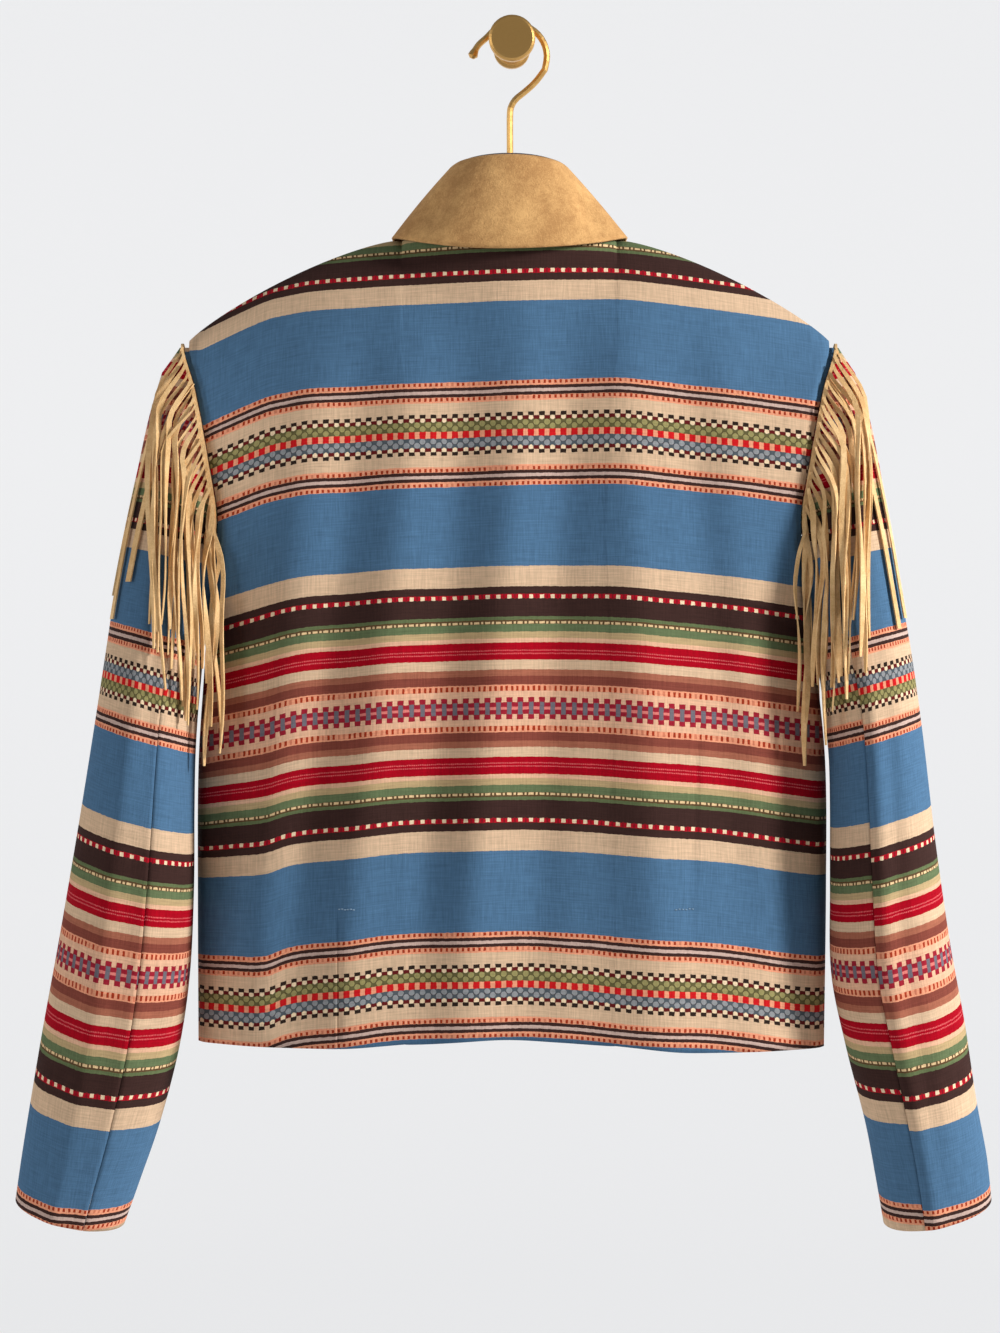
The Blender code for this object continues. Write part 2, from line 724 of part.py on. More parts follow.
def add_hanger(material, collection):
    """Wooden arms under the shoulder seams: ellipses along a soft peak, with round ends."""
    neck_reach = math.hypot(NECK_HALF, HANGER_ROUND) - NECK_HALF
    points = []
    for i in range(HANGER_STEPS + 1):
        along = math.sin(math.pi / 2 * (2 * i / HANGER_STEPS - 1) * HANGER_END_SHARE)
        x = HANGER_HALF * along
        size = max(HANGER_END_SIZE, (1 - abs(along) ** HANGER_END_POWER)) ** 0.5
        line = shoulder_line(math.hypot(x, HANGER_ROUND) - neck_reach, HANGER_CROWN, HANGER_CROWN_POWER)
        top = line - CLOTH - HANGER_DROP
        centre = top - HANGER_HALF_HEIGHT
        for k in range(HANGER_SIDES):
            turn = 2 * math.pi * k / HANGER_SIDES
            y = RIDGE_Y + HANGER_HALF_DEPTH * size * math.cos(turn)
            points.append(Vector((HANG_X + x, y, centre + HANGER_HALF_HEIGHT * size * math.sin(turn))))
    faces = []
    for i in range(HANGER_STEPS):
        for k in range(HANGER_SIDES):
            nxt = (k + 1) % HANGER_SIDES
            here = i * HANGER_SIDES
            faces.append((here + k, here + nxt, here + HANGER_SIDES + nxt, here + HANGER_SIDES + k))
    faces.append(tuple(range(HANGER_SIDES)))
    last = HANGER_STEPS * HANGER_SIDES
    faces.append(tuple(reversed(range(last, last + HANGER_SIDES))))
    item = add_mesh("hanger", points, faces, material, collection)
    face_outward(item)
    return item


def hanger_top():
    reach = HANGER_ROUND - math.hypot(NECK_HALF, HANGER_ROUND)
    return shoulder_line(NECK_HALF + reach, HANGER_CROWN, HANGER_CROWN_POWER) - CLOTH - HANGER_DROP


def hook_points():
    """Centre line of the hook from its tip, over the knob's neck, down to the hanger."""
    route = [(point.x, point.z) for point in HOOK_TIP]
    for i in range(ARC_POINTS):
        turn = math.radians(ARC_START - ARC_STEP * i)
        route.append((ARC_X + ARC_RADIUS * math.cos(turn), ARC_Z + ARC_RADIUS * math.sin(turn)))
    route.extend((point.x, point.z) for point in HOOK_BEND)
    route.append((STEM_X, STEM_Z))
    route.append((STEM_X, hanger_top() + SEAM))
    return route


def add_hook(material, collection):
    """Bent wire with a ball at its tip."""
    route = hook_points()
    places = list(range(len(route)))
    samples = [i / WIRE_SPLIT for i in range(int(places[-1] * WIRE_SPLIT) + 1)]
    samples[-1] = places[-1]
    wire = bpy.data.curves.new("hook_wire", "CURVE")
    wire.dimensions = "3D"
    wire.bevel_depth = WIRE_RADIUS * MM
    wire.bevel_resolution = 2
    wire.use_fill_caps = True
    spline = wire.splines.new("POLY")
    spline.points.add(len(samples) - 1)
    for point, place in zip(spline.points, samples):
        x = smooth_read(places, [row[0] for row in route], place)
        z = smooth_read(places, [row[1] for row in route], place)
        point.co = (x * MM, RIDGE_Y * MM, z * MM, 1)
        swell = math.exp(-((place - BALL_PLACE) / BALL_REACH) ** 2)
        point.radius = 1 + (BALL_SWELL - 1) * swell
        if place == 0:
            point.radius = BALL_END_SHARE
    curve_item = bpy.data.objects.new("hook_wire", wire)
    collection.objects.link(curve_item)
    graph = bpy.context.evaluated_depsgraph_get()
    mesh = bpy.data.meshes.new_from_object(curve_item.evaluated_get(graph))
    shape = bmesh.new()
    shape.from_mesh(mesh)
    bmesh.ops.remove_doubles(shape, verts=shape.verts, dist=0.00001)
    shape.to_mesh(mesh)
    shape.free()
    bpy.data.objects.remove(curve_item, do_unlink=True)
    mesh.materials.clear()
    mesh.materials.append(material)
    item = bpy.data.objects.new("hanger_hook", mesh)
    collection.objects.link(item)
    face_outward(item)
    mesh.shade_smooth()
    return item


def add_knob(material, collection):
    """Turned brass knob: head, neck and base, on the wall."""
    mesh = bpy.data.meshes.new("wall_knob")
    points = [(step.radius * MM, 0, step.reach * MM) for step in KNOB_PROFILE]
    edges = [(i, i + 1) for i in range(len(points) - 1)]
    mesh.from_pydata(points, edges, [])
    mesh.materials.append(material)
    item = bpy.data.objects.new("wall_knob", mesh)
    collection.objects.link(item)
    turned = item.modifiers.new("turned", "SCREW")
    turned.steps = KNOB_SIDES
    turned.render_steps = KNOB_SIDES
    turned.use_merge_vertices = True
    turned.merge_threshold = 0.00005
    item.rotation_euler.x = math.pi / 2
    return item


def main():
    clear_scene()
    jacket = bpy.data.collections.new("western_fringe_jacket")
    bpy.context.scene.collection.children.link(jacket)
    striped = make_material("striped_weave", (0.08, 0.16, 0.26), 0.85)
    suede = make_material("tan_suede", (0.6, 0.34, 0.15), 0.95)
    navy = make_material("navy_cotton", (0.02, 0.03, 0.07), 0.9)
    wood = make_material("beech_wood", (0.5, 0.32, 0.17), 0.5)
    brass = make_material("brushed_brass", (0.62, 0.42, 0.17), 0.35, 1.0)
    back = back_grid()
    fronts = {side: front_grid(side) for side in (-1, 1)}
    sleeves = {(side, under): sleeve_grid(side, under) for side in (-1, 1) for under in (False, True)}
    trees = {
        BACK: surface_tree([back, *sleeves.values()]),
        FRONT: surface_tree([*fronts.values(), *sleeves.values()]),
    }
    add_wall("back", back, True, CLOTH, striped, jacket)
    for side, name in ((-1, "left"), (1, "right")):
        add_wall("front_" + name, fronts[side], False, CLOTH, striped, jacket)
        add_wall("sleeve_" + name + "_top", sleeves[side, False], side < 0, CLOTH, striped, jacket)
        add_wall("sleeve_" + name + "_under", sleeves[side, True], side < 0, CLOTH, striped, jacket)
        add_fringe("fringe_" + name, side, trees, suede, jacket)
    add_wall("collar", leaf_grid(trees), True, SUEDE, suede, jacket)
    add_wall("collar_stand", stand_grid(), True, STAND_WALL, navy, jacket)
    add_hanger(wood, jacket)
    add_hook(brass, jacket)
    add_knob(brass, jacket)


main()
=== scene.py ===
import math
import random
from collections import namedtuple

import bmesh
import bpy
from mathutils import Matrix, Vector
from mathutils.bvhtree import BVHTree

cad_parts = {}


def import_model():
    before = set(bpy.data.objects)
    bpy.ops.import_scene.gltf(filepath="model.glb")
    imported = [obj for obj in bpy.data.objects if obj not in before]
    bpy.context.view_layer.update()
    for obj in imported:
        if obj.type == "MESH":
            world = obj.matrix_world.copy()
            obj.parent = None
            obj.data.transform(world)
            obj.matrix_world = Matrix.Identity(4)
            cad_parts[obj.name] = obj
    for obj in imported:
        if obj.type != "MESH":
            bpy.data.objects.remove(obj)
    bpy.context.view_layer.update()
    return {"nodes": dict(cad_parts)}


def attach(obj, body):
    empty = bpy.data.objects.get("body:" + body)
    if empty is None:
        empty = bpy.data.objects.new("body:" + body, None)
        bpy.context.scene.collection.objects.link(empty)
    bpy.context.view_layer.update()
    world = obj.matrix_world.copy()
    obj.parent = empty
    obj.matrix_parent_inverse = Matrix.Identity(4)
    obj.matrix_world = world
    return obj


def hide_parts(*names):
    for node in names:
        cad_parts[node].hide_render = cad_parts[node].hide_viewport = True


MM = 0.001
BACK = -1
FRONT = 1
SIDES = {-1: "left", 1: "right"}


def table(fields, *rows):
    """Rows of values under named fields."""
    kind = namedtuple("Row", fields)
    return tuple(kind(*row) for row in rows)


# Camera: level, square to the jacket's back
PHOTO_HEIGHT = 1333
FOCAL_PX = 4286.0
CAMERA_PLACE = (-0.0085, -3.10, -0.445)
SENSOR = 36.0

# Driving sizes of the jacket, in millimetres, as the solids have them
HANG_X = -2.0
RIDGE_Y = -48.0
CLOTH = 1.7
SUEDE = 1.9
SEAM = 0.45
UNDERARM_GAP = 0.5
NECK_POINT_GAP = 0.6
NECK_HALF = 76.0
NECK_Z = -143.0
SHOULDER_HALF = 231.0
SHOULDER_Z = -218.0
SHOULDER_CROWN = 13.5
CROWN_POWER = 0.6
UNDERARM_Z = -420.0
ARMHOLE_HALF_HEIGHT = (SHOULDER_Z - UNDERARM_Z) / 2
ARMHOLE_MIDDLE_Z = (SHOULDER_Z + UNDERARM_Z) / 2
HEM_Z = -713.0
NECK_RISE = {BACK: 3.0, FRONT: -64.0}
NECK_DEPTH = {BACK: 38.0, FRONT: 29.0}
BODY_DEPTH = {BACK: 60.0, FRONT: 33.0}
ARMHOLE_DEPTH = {BACK: 40.0, FRONT: 31.0}
ARMHOLE_SOFT_REACH = 165.0
RIDGE_LIP = 2.0
NECK_LIP_OUT = 1.2
NECK_LIP_DROP = 1.6
NECK_LIP_SIDE = 1.6
RIDGE_ROUND = 50.0
RIDGE_POWER = 0.75
NECK_FADE = 60.0
NECK_BLEND = 15.0
SOFT_TOP_STEPS = (-27, -18, -9, 0, 9, 18, 27)
SOFT_TOP_DROP = 18.0
NECK_SIDE_FADE = 25.0
NECK_POINT_WIDTH = 4.0
SIDE_POWER = 3.0
SEAM_EDGE_POWER = 8
FOLD_SETTLE = 2.2
FOLD_START = 90.0
FOLD_GAIN = 1.15
FOLD_EDGE_POWER = 4
FRONT_OPENING = 1.6
NECK_POWERS = {BACK: (1, 1), FRONT: (1.6, 0.85)}
ARMHOLE_ROWS = 10
LOWER_ROWS = 8
LIP_ROW = 0.2
PANEL_STRIP = 3.0
SIDE_STRIP = 2.5
STRIP_TURN_ROWS = 1.5

# Stage
SWEEP_RADIUS = 6.0
SWEEP_CURVE = 1.5
SWEEP_FLOOR = -1.5
SWEEP_TOP = 2.6
SWEEP_GLOW_NEAR = 0.05
SWEEP_GLOW_FAR = 0.62
SWEEP_GLOW_REACH = 0.4
SWEEP_GLOW = (0.98, 0.985, 1.0, 1)
SWEEP_GREY = (0.3, 0.3, 0.3, 1)
SWEEP_BENDS = 8
SWEEP_STEPS = 64
SKY_COLOUR = (0.92, 0.95, 1.0, 1)
SKY_STRENGTH = 0.26
LIGHT_TARGET = (0, 0, -0.5)
LIGHTS = table(
    "name place size power",
    ("key", (4.1, -1.75, 1.0), 1.0, 285), ("fill", (-3.9, -2.2, 0.0), 2.0, 44),
)

# Steps of the fine grids
PANEL_COLUMNS = 120
NECK_COLUMNS = 12
COLUMN_HALF = 217.0
COLUMN_GAP = 0.0012
RAY_START = 400.0
VENT_STEPS = (-2.4, -1.6, -0.9, -0.4, 0.0, 0.4, 0.9, 1.6, 2.4)
ROW_SPLIT = 6
SLEEVE_SPLIT = 8
SLEEVE_TURN = 3.6
HEAD_ROWS = (0.35, 0.7)
LEAF_ROWS = 24
STAND_ROWS = 12

SIDE_OUTLINE = table(
    "z left right",
    (-715, 221, 224), (-600, 221.5, 225.5), (-515, 221, 225),
    (-450, 217, 219), (-420, 214.5, 215), (-345, 205, 205),
    (-300, 211, 211), (-250, 221, 221), (-216, 231, 231), (-140, 231, 231),
)

HEM_LINE = table(
    "x z",
    (-216, -711), (-128, -712), (-65, -708), (-8, -704),
    (34, -706), (90, -711), (132, -715), (218, -715),
)

FOLDS = {
    BACK: table(
        "x_top x_low width height_top height_low",
        (-138, -182, 26, 2.0, 7.0), (-70, -114, 24, 2.0, 5.5), (6, -28, 24, 2.5, 5.0),
        (84, 104, 30, 3.0, 6.5), (152, 182, 18, 2.0, 3.0),
    ),
    FRONT: table(
        "x_top x_low width height_top height_low",
        (-146, -160, 26, 1.5, 4.0), (-62, -78, 24, 1.5, 4.5), (54, 66, 26, 1.5, 4.5),
        (138, 158, 24, 1.5, 3.5),
    ),
}

# Small creases that only the fine shells have: a trough is negative
CREASE_OVERRUN = 0.1
CREASE_FADE = 0.35
CREASES = {
    BACK: table(
        "x_start z_start x_end z_end width height",
        (-136, -218, -185, -690, 15, 2.4), (-62, -218, -118, -690, 14, 2.4),
        (11, -218, -34, -690, 14, 2.4), (81, -218, 106, -690, 17, 2.6),
        (-101, -218, -152, -690, 15, -3.4), (-28, -218, -64, -690, 15, -3.2),
        (46, -218, 15, -690, 16, -3.2), (123, -218, 178, -690, 17, -3.8),
        (-190, -330, -204, -560, 9, -2.6), (196, -330, 200, -560, 8, -2.0),
        (-126, -500, -121, -640, 3.2, -0.9), (132, -480, 127, -640, 2.6, -1.0),
        (-174, -462, -204, -640, 4.5, -2.0), (176, -560, 188, -690, 6, 1.2),
    ),
    FRONT: table(
        "x_start z_start x_end z_end width height",
        (-180, -340, -120, -470, 9, 1.4), (176, -350, 118, -450, 10, 1.2),
        (-104, -240, -112, -680, 15, -3.0), (98, -240, 104, -680, 16, -3.0),
        (-100, -250, -96, -520, 8, 1.0), (90, -300, 108, -600, 7, 1.1), (30, -480, 24, -690, 6, 0.8),
    ),
}

SLEEVE_RINGS = table(
    "outer_left outer_right outer_z inner_left inner_right inner_z half_depth axis_y bow lean",
    (247, 246, -236, 219, 219, -430, 43, -51, -11, 0),
    (257, 257, -272, 219, 219.5, -438, 46, -54, -7, 0),
    (269, 268, -332, 219.3, 221.3, -456, 48, -58, -3, 0),
    (279, 277, -390, 221, 224, -482, 49, -62, -1, 1),
    (286, 285, -438, 222.3, 226.5, -512, 49, -65, 0, 2),
    (295, 293, -498, 222.7, 227, -550, 48, -68, 0, 3),
    (306, 301, -566, 223, 227, -602, 47, -68, 0, 4),
    (319, 312, -640, 226, 228, -662, 45, -65, 0, 5),
    (330, 323, -697, 234, 239, -715, 42, -59, 0, 6),
    (340, 332, -752, 248, 253, -768, 39, -52, 0, 7),
    (347, 340, -792, 262, 261, -808, 36, -46, 0, 8),
    (352, 344, -824, 274, 267, -841, 34, -42, 0, 8.5),
)
SLEEVE_FRONT_SHARE = 0.84
SLEEVE_STRIP_TOP = 3.0
SLEEVE_STRIP_SIDE = 4.0
BACK_SEAM_ANGLE = 108.0
FRONT_SEAM_ANGLE = -108.0
SLEEVE_SEAM_TURN = 0.3
SLEEVE_FOLD_SETTLE = 1.6
SLEEVE_FOLD_START = 0.3

SLEEVE_FOLDS = table(
    "side angle width height_top height_low",
    (-1, 74, 13, 0.5, 3.5),
    (-1, 112, 12, 0.5, 2.5),
    (1, 98, 12, 2.0, 4.0),
    (-1, -84, 16, 1.0, 3.0),
    (1, -92, 16, 1.0, 3.0),
)

# Short creases on the sleeves, by ring place and angle; a trough is negative
SLEEVE_CREASES = table(
    "side place angle reach width slant height",
    (-1, 3.2, 92, 1.8, 9, 12, -1.6),
    (-1, 5.0, 128, 1.6, 12, -14, 1.8),
    (-1, 6.2, 60, 1.5, 14, 10, 1.4),
    (-1, 8.6, 100, 1.6, 12, -8, 1.3),
    (-1, 5.6, -60, 1.6, 14, 10, 1.6),
    (1, 2.6, 112, 1.6, 8, 6, -1.6),
    (1, 5.4, 78, 2.2, 9, 4, -1.5),
    (1, 6.8, 120, 1.5, 12, -10, 1.3),
    (1, 8.8, 70, 1.6, 13, 8, 1.4),
    (1, 5.2, -70, 1.6, 14, -9, 1.6),
)

# Collar leaf and stand
NECK_STEPS = 6
FOLD_HALF = 40.0
FOLD_DEPTH = {BACK: 32.0, FRONT: 28.0}
FOLD_Z = {BACK: -83.5, FRONT: -140.0}
FOLD_SIDE_Z = -88.0
LEAF_HALF = 84.0
LEAF_DEPTH = {BACK: 52.0, FRONT: 43.0}
LEAF_Z = {BACK: -152.0, FRONT: -221.0}
LEAF_SIDE_Z = -140.0
LEAF_BULGE = 3.0
LEAF_SIDE_BULGE = 0.6
LEAF_BULGE_RISE = 0.4
FOLD_POWER = 1.5
LEAF_POWER = 1.8
LEAF_CLEARANCE = 1.4
LEAF_FIRST_SHARES = (0.0, 0.02, 0.05)
LEAF_FOLD_SHARE = 0.05
LEAF_FOLD_IN = 1.2
LEAF_DENTS = table("angle share wide tall height", (-50, 0.62, 10, 0.24, -3.0), (54, 0.68, 10, 0.22, -3.2))
RIPPLE = 0.5
RIPPLE_TURNS = 5
RIPPLE_START = 40
STAND_WALL = 1.5
STAND_INSET = 4.4
STAND_RISE = 1.0
STAND_GAP = 0.65
COLLAR_STEP = 90.0 / NECK_STEPS
COLLAR_END = 180.0 - COLLAR_STEP
COLLAR_SPLIT = 5

# Stripe chart: the outer bound of each stripe, in millimetres from the middle of the chain stripe
CHART_REPEAT = 385.0
CHAIN_Z = -474.0
STITCH_REPEAT = 7.6
STRIPES = table(
    "bound colour",
    (11.7, "pink_tan"), (16.4, "peach"), (22.2, "brown"), (26.4, "rust"),
    (33.1, "tan"), (45.5, "red"), (48.6, "pink_tan"), (52.7, "khaki"),
    (58.1, "green"), (61.1, "olive_dark"), (63.2, "green_dark"),
    (76.1, "bark"), (79.6, "crimson"), (84.9, "bark"), (99.2, "tan"),
    (155.0, "blue"), (159.1, "peach"), (161.6, "bark"), (163.3, "chalk"),
    (165.5, "bark"), (169.7, "peach"), (192.5, "tan"),
)
COLOURS = {
    "pink_tan": (221, 174, 142), "peach": (228, 152, 118), "brown": (128, 66, 54),
    "rust": (162, 98, 76), "tan": (210, 178, 146), "red": (164, 2, 26), "khaki": (184, 158, 116),
    "green": (98, 112, 78), "olive_dark": (92, 70, 46), "green_dark": (96, 108, 72),
    "bark": (60, 39, 35), "crimson": (172, 16, 34), "blue": (76, 110, 141), "chalk": (196, 168, 156),
    "dash_brown": (158, 54, 30), "cream": (232, 208, 172), "yellow_cream": (222, 190, 142),
    "bar_blue": (110, 104, 112), "chain_red": (152, 32, 48), "chain_pink": (214, 120, 112),
    "line_pink": (214, 96, 98), "olive": (98, 92, 58), "grey_blue": (80, 88, 94),
    "olive_disc": (150, 142, 92), "blue_disc": (142, 144, 146), "ink": (46, 34, 28),
    "oxblood": (96, 26, 26), "square_red": (198, 26, 30), "mid_red": (136, 20, 32),
    "collar": (220, 172, 112), "collar_shade": (178, 132, 82), "strand": (242, 204, 150),
    "strand_shade": (208, 166, 112), "navy": (38, 44, 66), "thread": (150, 180, 206),
    "brass": (240, 198, 126), "brass_shade": (204, 150, 78), "beech": (206, 164, 112),
    "beech_shade": (150, 104, 62),
}

DROOPS = table(
    "x upper lower",
    (-218, 30, 22), (-200, 23, 20), (-171, 12.6, 16.8), (-156, 9, 11.9),
    (-141, 6.5, 9.1), (-112, 4.9, 6.3), (-83, 2.8, 2.8), (-53, 1.8, 1.4),
    (5, 0, 0), (50, -0.7, 1.4), (79, -0.5, 3.5), (108, 2, 5.6),
    (138, 5, 7.7), (167, 8, 11.2), (197, 11.9, 16), (218, 15, 19),
)
DROOP_UPPER_Z = -330.0
DROOP_LOWER_Z = -575.0
DROOP_SHARES = (-0.3, 1.4)

SLEEVE_TURNS = table(
    "z tilt tip",
    (-830, 0.14, 0.24), (-700, 0.16, 0.22), (-620, 0.22, 0.12),
    (-520, 0.30, 0.04), (-400, 0.33, -0.05), (-260, 0.33, -0.05),
)
SLEEVE_PLACES = table(
    "z chart",
    (-900, -223), (-826, -155), (-769, -99.2), (-659.6, 0),
    (-555, 99.2), (-498, 155), (-460, 192.5), (-421, 230),
    (-367, 285.8), (-273, 385), (-180, 481),
)
UNDER_SHIFT = {-1: 0.8, 1: 4.0}
RIDGE_STRETCH = 0.3
SPREAD = 0.01
SPREAD_REACH = 200.0
CHART_UNIT = 100.0
WAVER_SCALE = 0.35
DRIFT_SCALE = 0.03
WAVER_ACROSS = 0.9
WAVER_DOWN = 0.8

# Figures woven into the stripes: distances from the stripe chart's middle, and widths across
Figure = namedtuple("Figure", "half height")
CHAIN_BLOCK = Figure(2.15, 7.6)
CHAIN_LINK = Figure(2.0, 4.1)
CHAIN_THREAD = Figure(2.1, 1.0)
CHAIN_BAR = Figure(1.6, 4.3)
DOT_ROWS = ((12.1, 15.6), (155.9, 158.2), (166.4, 168.8))
DOT_PLACE = 2.0
DOT_HALF = 0.85
DOT_STRIPE = 9.0
DOT_NOISE = 7.3
DOT_FAINT = 0.45
LINE_ROWS = ((37.7, 38.6), (39.9, 40.8))
LINE_REPEAT = 0.65
LINE_HALF = 0.4
DASH_ROW = (58.9, 60.5)
LONG_DASH = 1.75
SHORT_DASH = 0.75
RED_ROW = (76.1, 79.6)
RED_MIDDLE = 0.6
CREAM_ROW = (76.5, 79.2)
CREAM_HALF = 1.4

# Honeycomb stripe, by distance from its own middle
Disc = namedtuple("Disc", "centre radius")
INNER_DISC = Disc(4.4, 2.0)
OUTER_DISC = Disc(7.2, 2.05)
CREAM_DISC = Disc(10.4, 1.6)
COMB_BOUND = 14.9
COMB_LATTICE = 9.1
COMB_SHADE = (5.4, 6.6)
COMB_EDGE = (9.0, 11.8)
COMB_EDGE_HALF = 2.1
COMB_RIM = (9.0, 9.6)
COMB_INK = (11.8, 14.5)
COMB_INK_HALF = 2.05
COMB_MIDDLE = 2.4
COMB_SQUARE_HALF = 2.2

# Tone and rib of the weave, and grain of the wood
CLOTH_TONE = 0.97
SLUB_TONE = 0.55
THREAD_TONE = 0.02
WARP_TURN = 9.0
WEFT_TURN = 8.0
WOOD_GRAIN = (9, 120, 120)

# Vents in the back's hem, and the tacks at their tops
VENTS = table("x z_top tack_to", (-119.2, -615.0, -107.0), (128.8, -615.0, 114.5))
VENT_WIDTH = 0.9
VENT_DEPTH = 1.3
VENT_OPENS = 8.0
TACK_STITCHES = 6
TACK_START = 0.3
TACK_RISE = 0.6
TACK_UNEVEN = 0.25
TACK_UNEVEN_STEP = 2.1
TACK_LIFT = 0.25
TACK_DEPTH = 0.3
TACK_HALF = 0.4
TACK_RINGS = table("x grow", (-0.85, 0.4), (-0.5, 1.0), (0.5, 1.0), (0.85, 0.4))
TACK_CORNERS = ((-1, -1), (-1, 1), (1, 1), (1, -1))

# Sizes that the pieces were cut to, in metres and square metres
CUTS = table(
    "piece rests_on width length area",
    ("back_shell", "hanger", 0.48, 0.60, 0.270),
    ("front_left_shell", "hanger", 0.24, 0.60, 0.122),
    ("front_right_shell", "hanger", 0.24, 0.60, 0.123),
    ("sleeve_left_top_shell", "back_shell", 0.18, 0.62, 0.095),
    ("sleeve_left_under_shell", "back_shell", 0.13, 0.46, 0.049),
    ("sleeve_right_top_shell", "back_shell", 0.18, 0.62, 0.091),
    ("sleeve_right_under_shell", "back_shell", 0.13, 0.46, 0.047),
    ("collar_leaf", "back_shell", 0.42, 0.09, 0.024),
    ("collar_stand_band", "back_shell", 0.34, 0.06, 0.018),
)

# Fringe
STRANDS = 24
STRIP_CLEARANCE = 0.5
STRIP_TOP_CLEARANCE = 1.1
STRIP_TOP_Z = -222.0
STRIP_LOW_Z = -354.0
STRAND_FIRST_X = 252.0
STRAND_LAST_X = 205.0
STRAND_END_Z = (-416.0, -505.0)
STRAND_THICKNESS = 1.1
STRAND_RINGS = 20
STRIP_RINGS = 20
STRIP_WIDTH = 1.8
STRIP_SIDE_WIDTH = 1.6
STRIP_SIDE_GAP = 0.3
STRIP_THICKNESS = 1.3
STRAND_X_POWER = 0.9
STRAND_DROP_POWER = 1.35
STRAND_SHIFT = 4.0
STRAND_ENDS = (-24, 40)
STRAND_WIDTHS = (2.4, 4.6)
STRAND_TWIST = 4.4
STRAND_LEAN = 1.2
STRAND_SWAY = 5.0
STRAND_RIPPLE = 1.4
STRAND_LAYERS = 5
LAYER_ROOT = 0.6
LAYER_LIFT = 1.3
LAYER_GAP = 0.7
ROOT_ARCH = 2.0
ROOT_ARCH_FADE = 4.0
ROOT_WIDTH = 0.55
ROOT_DROP = 14.0
SPREAD_DROP = 20.0
SPREAD_DROP_TOP = 16.0
SPREAD_POWER = 0.7
STRAND_RIPPLE_TURNS = 9
SWAY_DROP = 40.0
TWIST_START = 0.12
TWIST_SHARE = 0.8
STRAND_RAYS = (-3.0, 0.0, 3.0)
END_START = 0.9
END_TAPER = 0.55
FRINGE_SEED = 40
SHARP_TURN = 50.0
OVER_STRAND_WIDTHS = (4.0, 5.0)
OVER_STRAND_START = 0.4
OVER_STRAND_REACH = 4.4
OVER_STRAND_TURN = 6.0
OVER_STRAND_RISE = 0.25
OVER_STRAND_LIFTS = (1.8, 3.0)
OVER_STRANDS = table(
    "side angle end_z",
    (-1, 26, -418), (-1, -18, -402), (-1, 44, -398),
    (1, 24, -412), (1, -20, -398), (1, 40, -420),
)


def ease(u):
    """Smooth step from 0 to 1."""
    u = min(max(u, 0.0), 1.0)
    return u * u * (3 - 2 * u)


def blend(start, end, share):
    return start + (end - start) * share


def bell(off):
    """Soft bump of height 1, by the distance from its middle in widths."""
    return math.exp(-off ** 2)


def smooth_read(keys, values, place):
    """Cubic curve through the points, with slopes from each point's neighbours."""
    last = len(keys) - 1
    if place <= keys[0]:
        return values[0]
    if place >= keys[last]:
        return values[last]
    cell = max(i for i in range(last) if keys[i] <= place)
    slopes = []
    for i in (cell, cell + 1):
        low = max(i - 1, 0)
        high = min(i + 1, last)
        slopes.append((values[high] - values[low]) / (keys[high] - keys[low]))
    span = keys[cell + 1] - keys[cell]
    u = (place - keys[cell]) / span
    start = (1 + 2 * u) * (1 - u) ** 2 * values[cell] + u * (1 - u) ** 2 * span * slopes[0]
    end = u * u * (3 - 2 * u) * values[cell + 1] + u * u * (u - 1) * span * slopes[1]
    return start + end


def curve_through(rows, key, value, place):
    keys = [getattr(row, key) for row in rows]
    values = [getattr(row, value) for row in rows]
    return smooth_read(keys, values, place)


# The garment's form, as the solids have it

def half_width(s, z):
    """Distance from the centre to the side edge, on the side that s names by its sign."""
    return curve_through(SIDE_OUTLINE, "z", "left" if s < 0 else "right", z)


def neckline(face, bend):
    """Height and depth of the neckline; bend is 0 at the shoulder seam and 1 at the centre."""
    rise_power, depth_power = NECK_POWERS[face]
    return NECK_Z + NECK_RISE[face] * bend ** rise_power, NECK_DEPTH[face] * bend ** depth_power


def shoulder_line(x, crown, power):
    """Height of the shoulder at a distance from the centre, crowned between neck and armhole."""
    share = (x - NECK_HALF) / (SHOULDER_HALF - NECK_HALF)
    rise = crown * max(0.0, math.sin(math.pi * min(max(share, 0.0), 1.0))) ** power
    return NECK_Z + (SHOULDER_Z - NECK_Z) * share + rise


def top_edge(face, s):
    x = abs(s) * SHOULDER_HALF
    if x >= NECK_HALF:
        return shoulder_line(x, SHOULDER_CROWN, CROWN_POWER), 0.0
    return neckline(face, math.sqrt(1 - (x / NECK_HALF) ** 2))


def soft_top(face, s):
    """Top edge with its corner at the neck rounded off, as the cloth below it takes it."""
    places = [s + step / SHOULDER_HALF for step in SOFT_TOP_STEPS]
    return sum(top_edge(face, max(-1.0, min(1.0, place)))[0] for place in places) / len(places)


def row_share(row):
    """Share of the way from the top edge to the hem; armhole rows are even in angle."""
    armhole = (UNDERARM_Z - SHOULDER_Z) / (HEM_Z - SHOULDER_Z)
    if row <= ARMHOLE_ROWS:
        return armhole * (1 - math.cos(math.pi * row / ARMHOLE_ROWS)) / 2
    return armhole + (1 - armhole) * (row - ARMHOLE_ROWS) / LOWER_ROWS


def fold_height(face, x, z):
    """Sum of the soft vertical folds at a place on a panel."""
    down = ease((SHOULDER_Z - z) / (SHOULDER_Z - HEM_Z))
    total = 0.0
    for fold in FOLDS[face]:
        centre = blend(fold.x_top, fold.x_low, down)
        height = blend(fold.height_top, fold.height_low, min(1.0, FOLD_SETTLE * down))
        total += height * bell((x - centre) / fold.width)
    return total


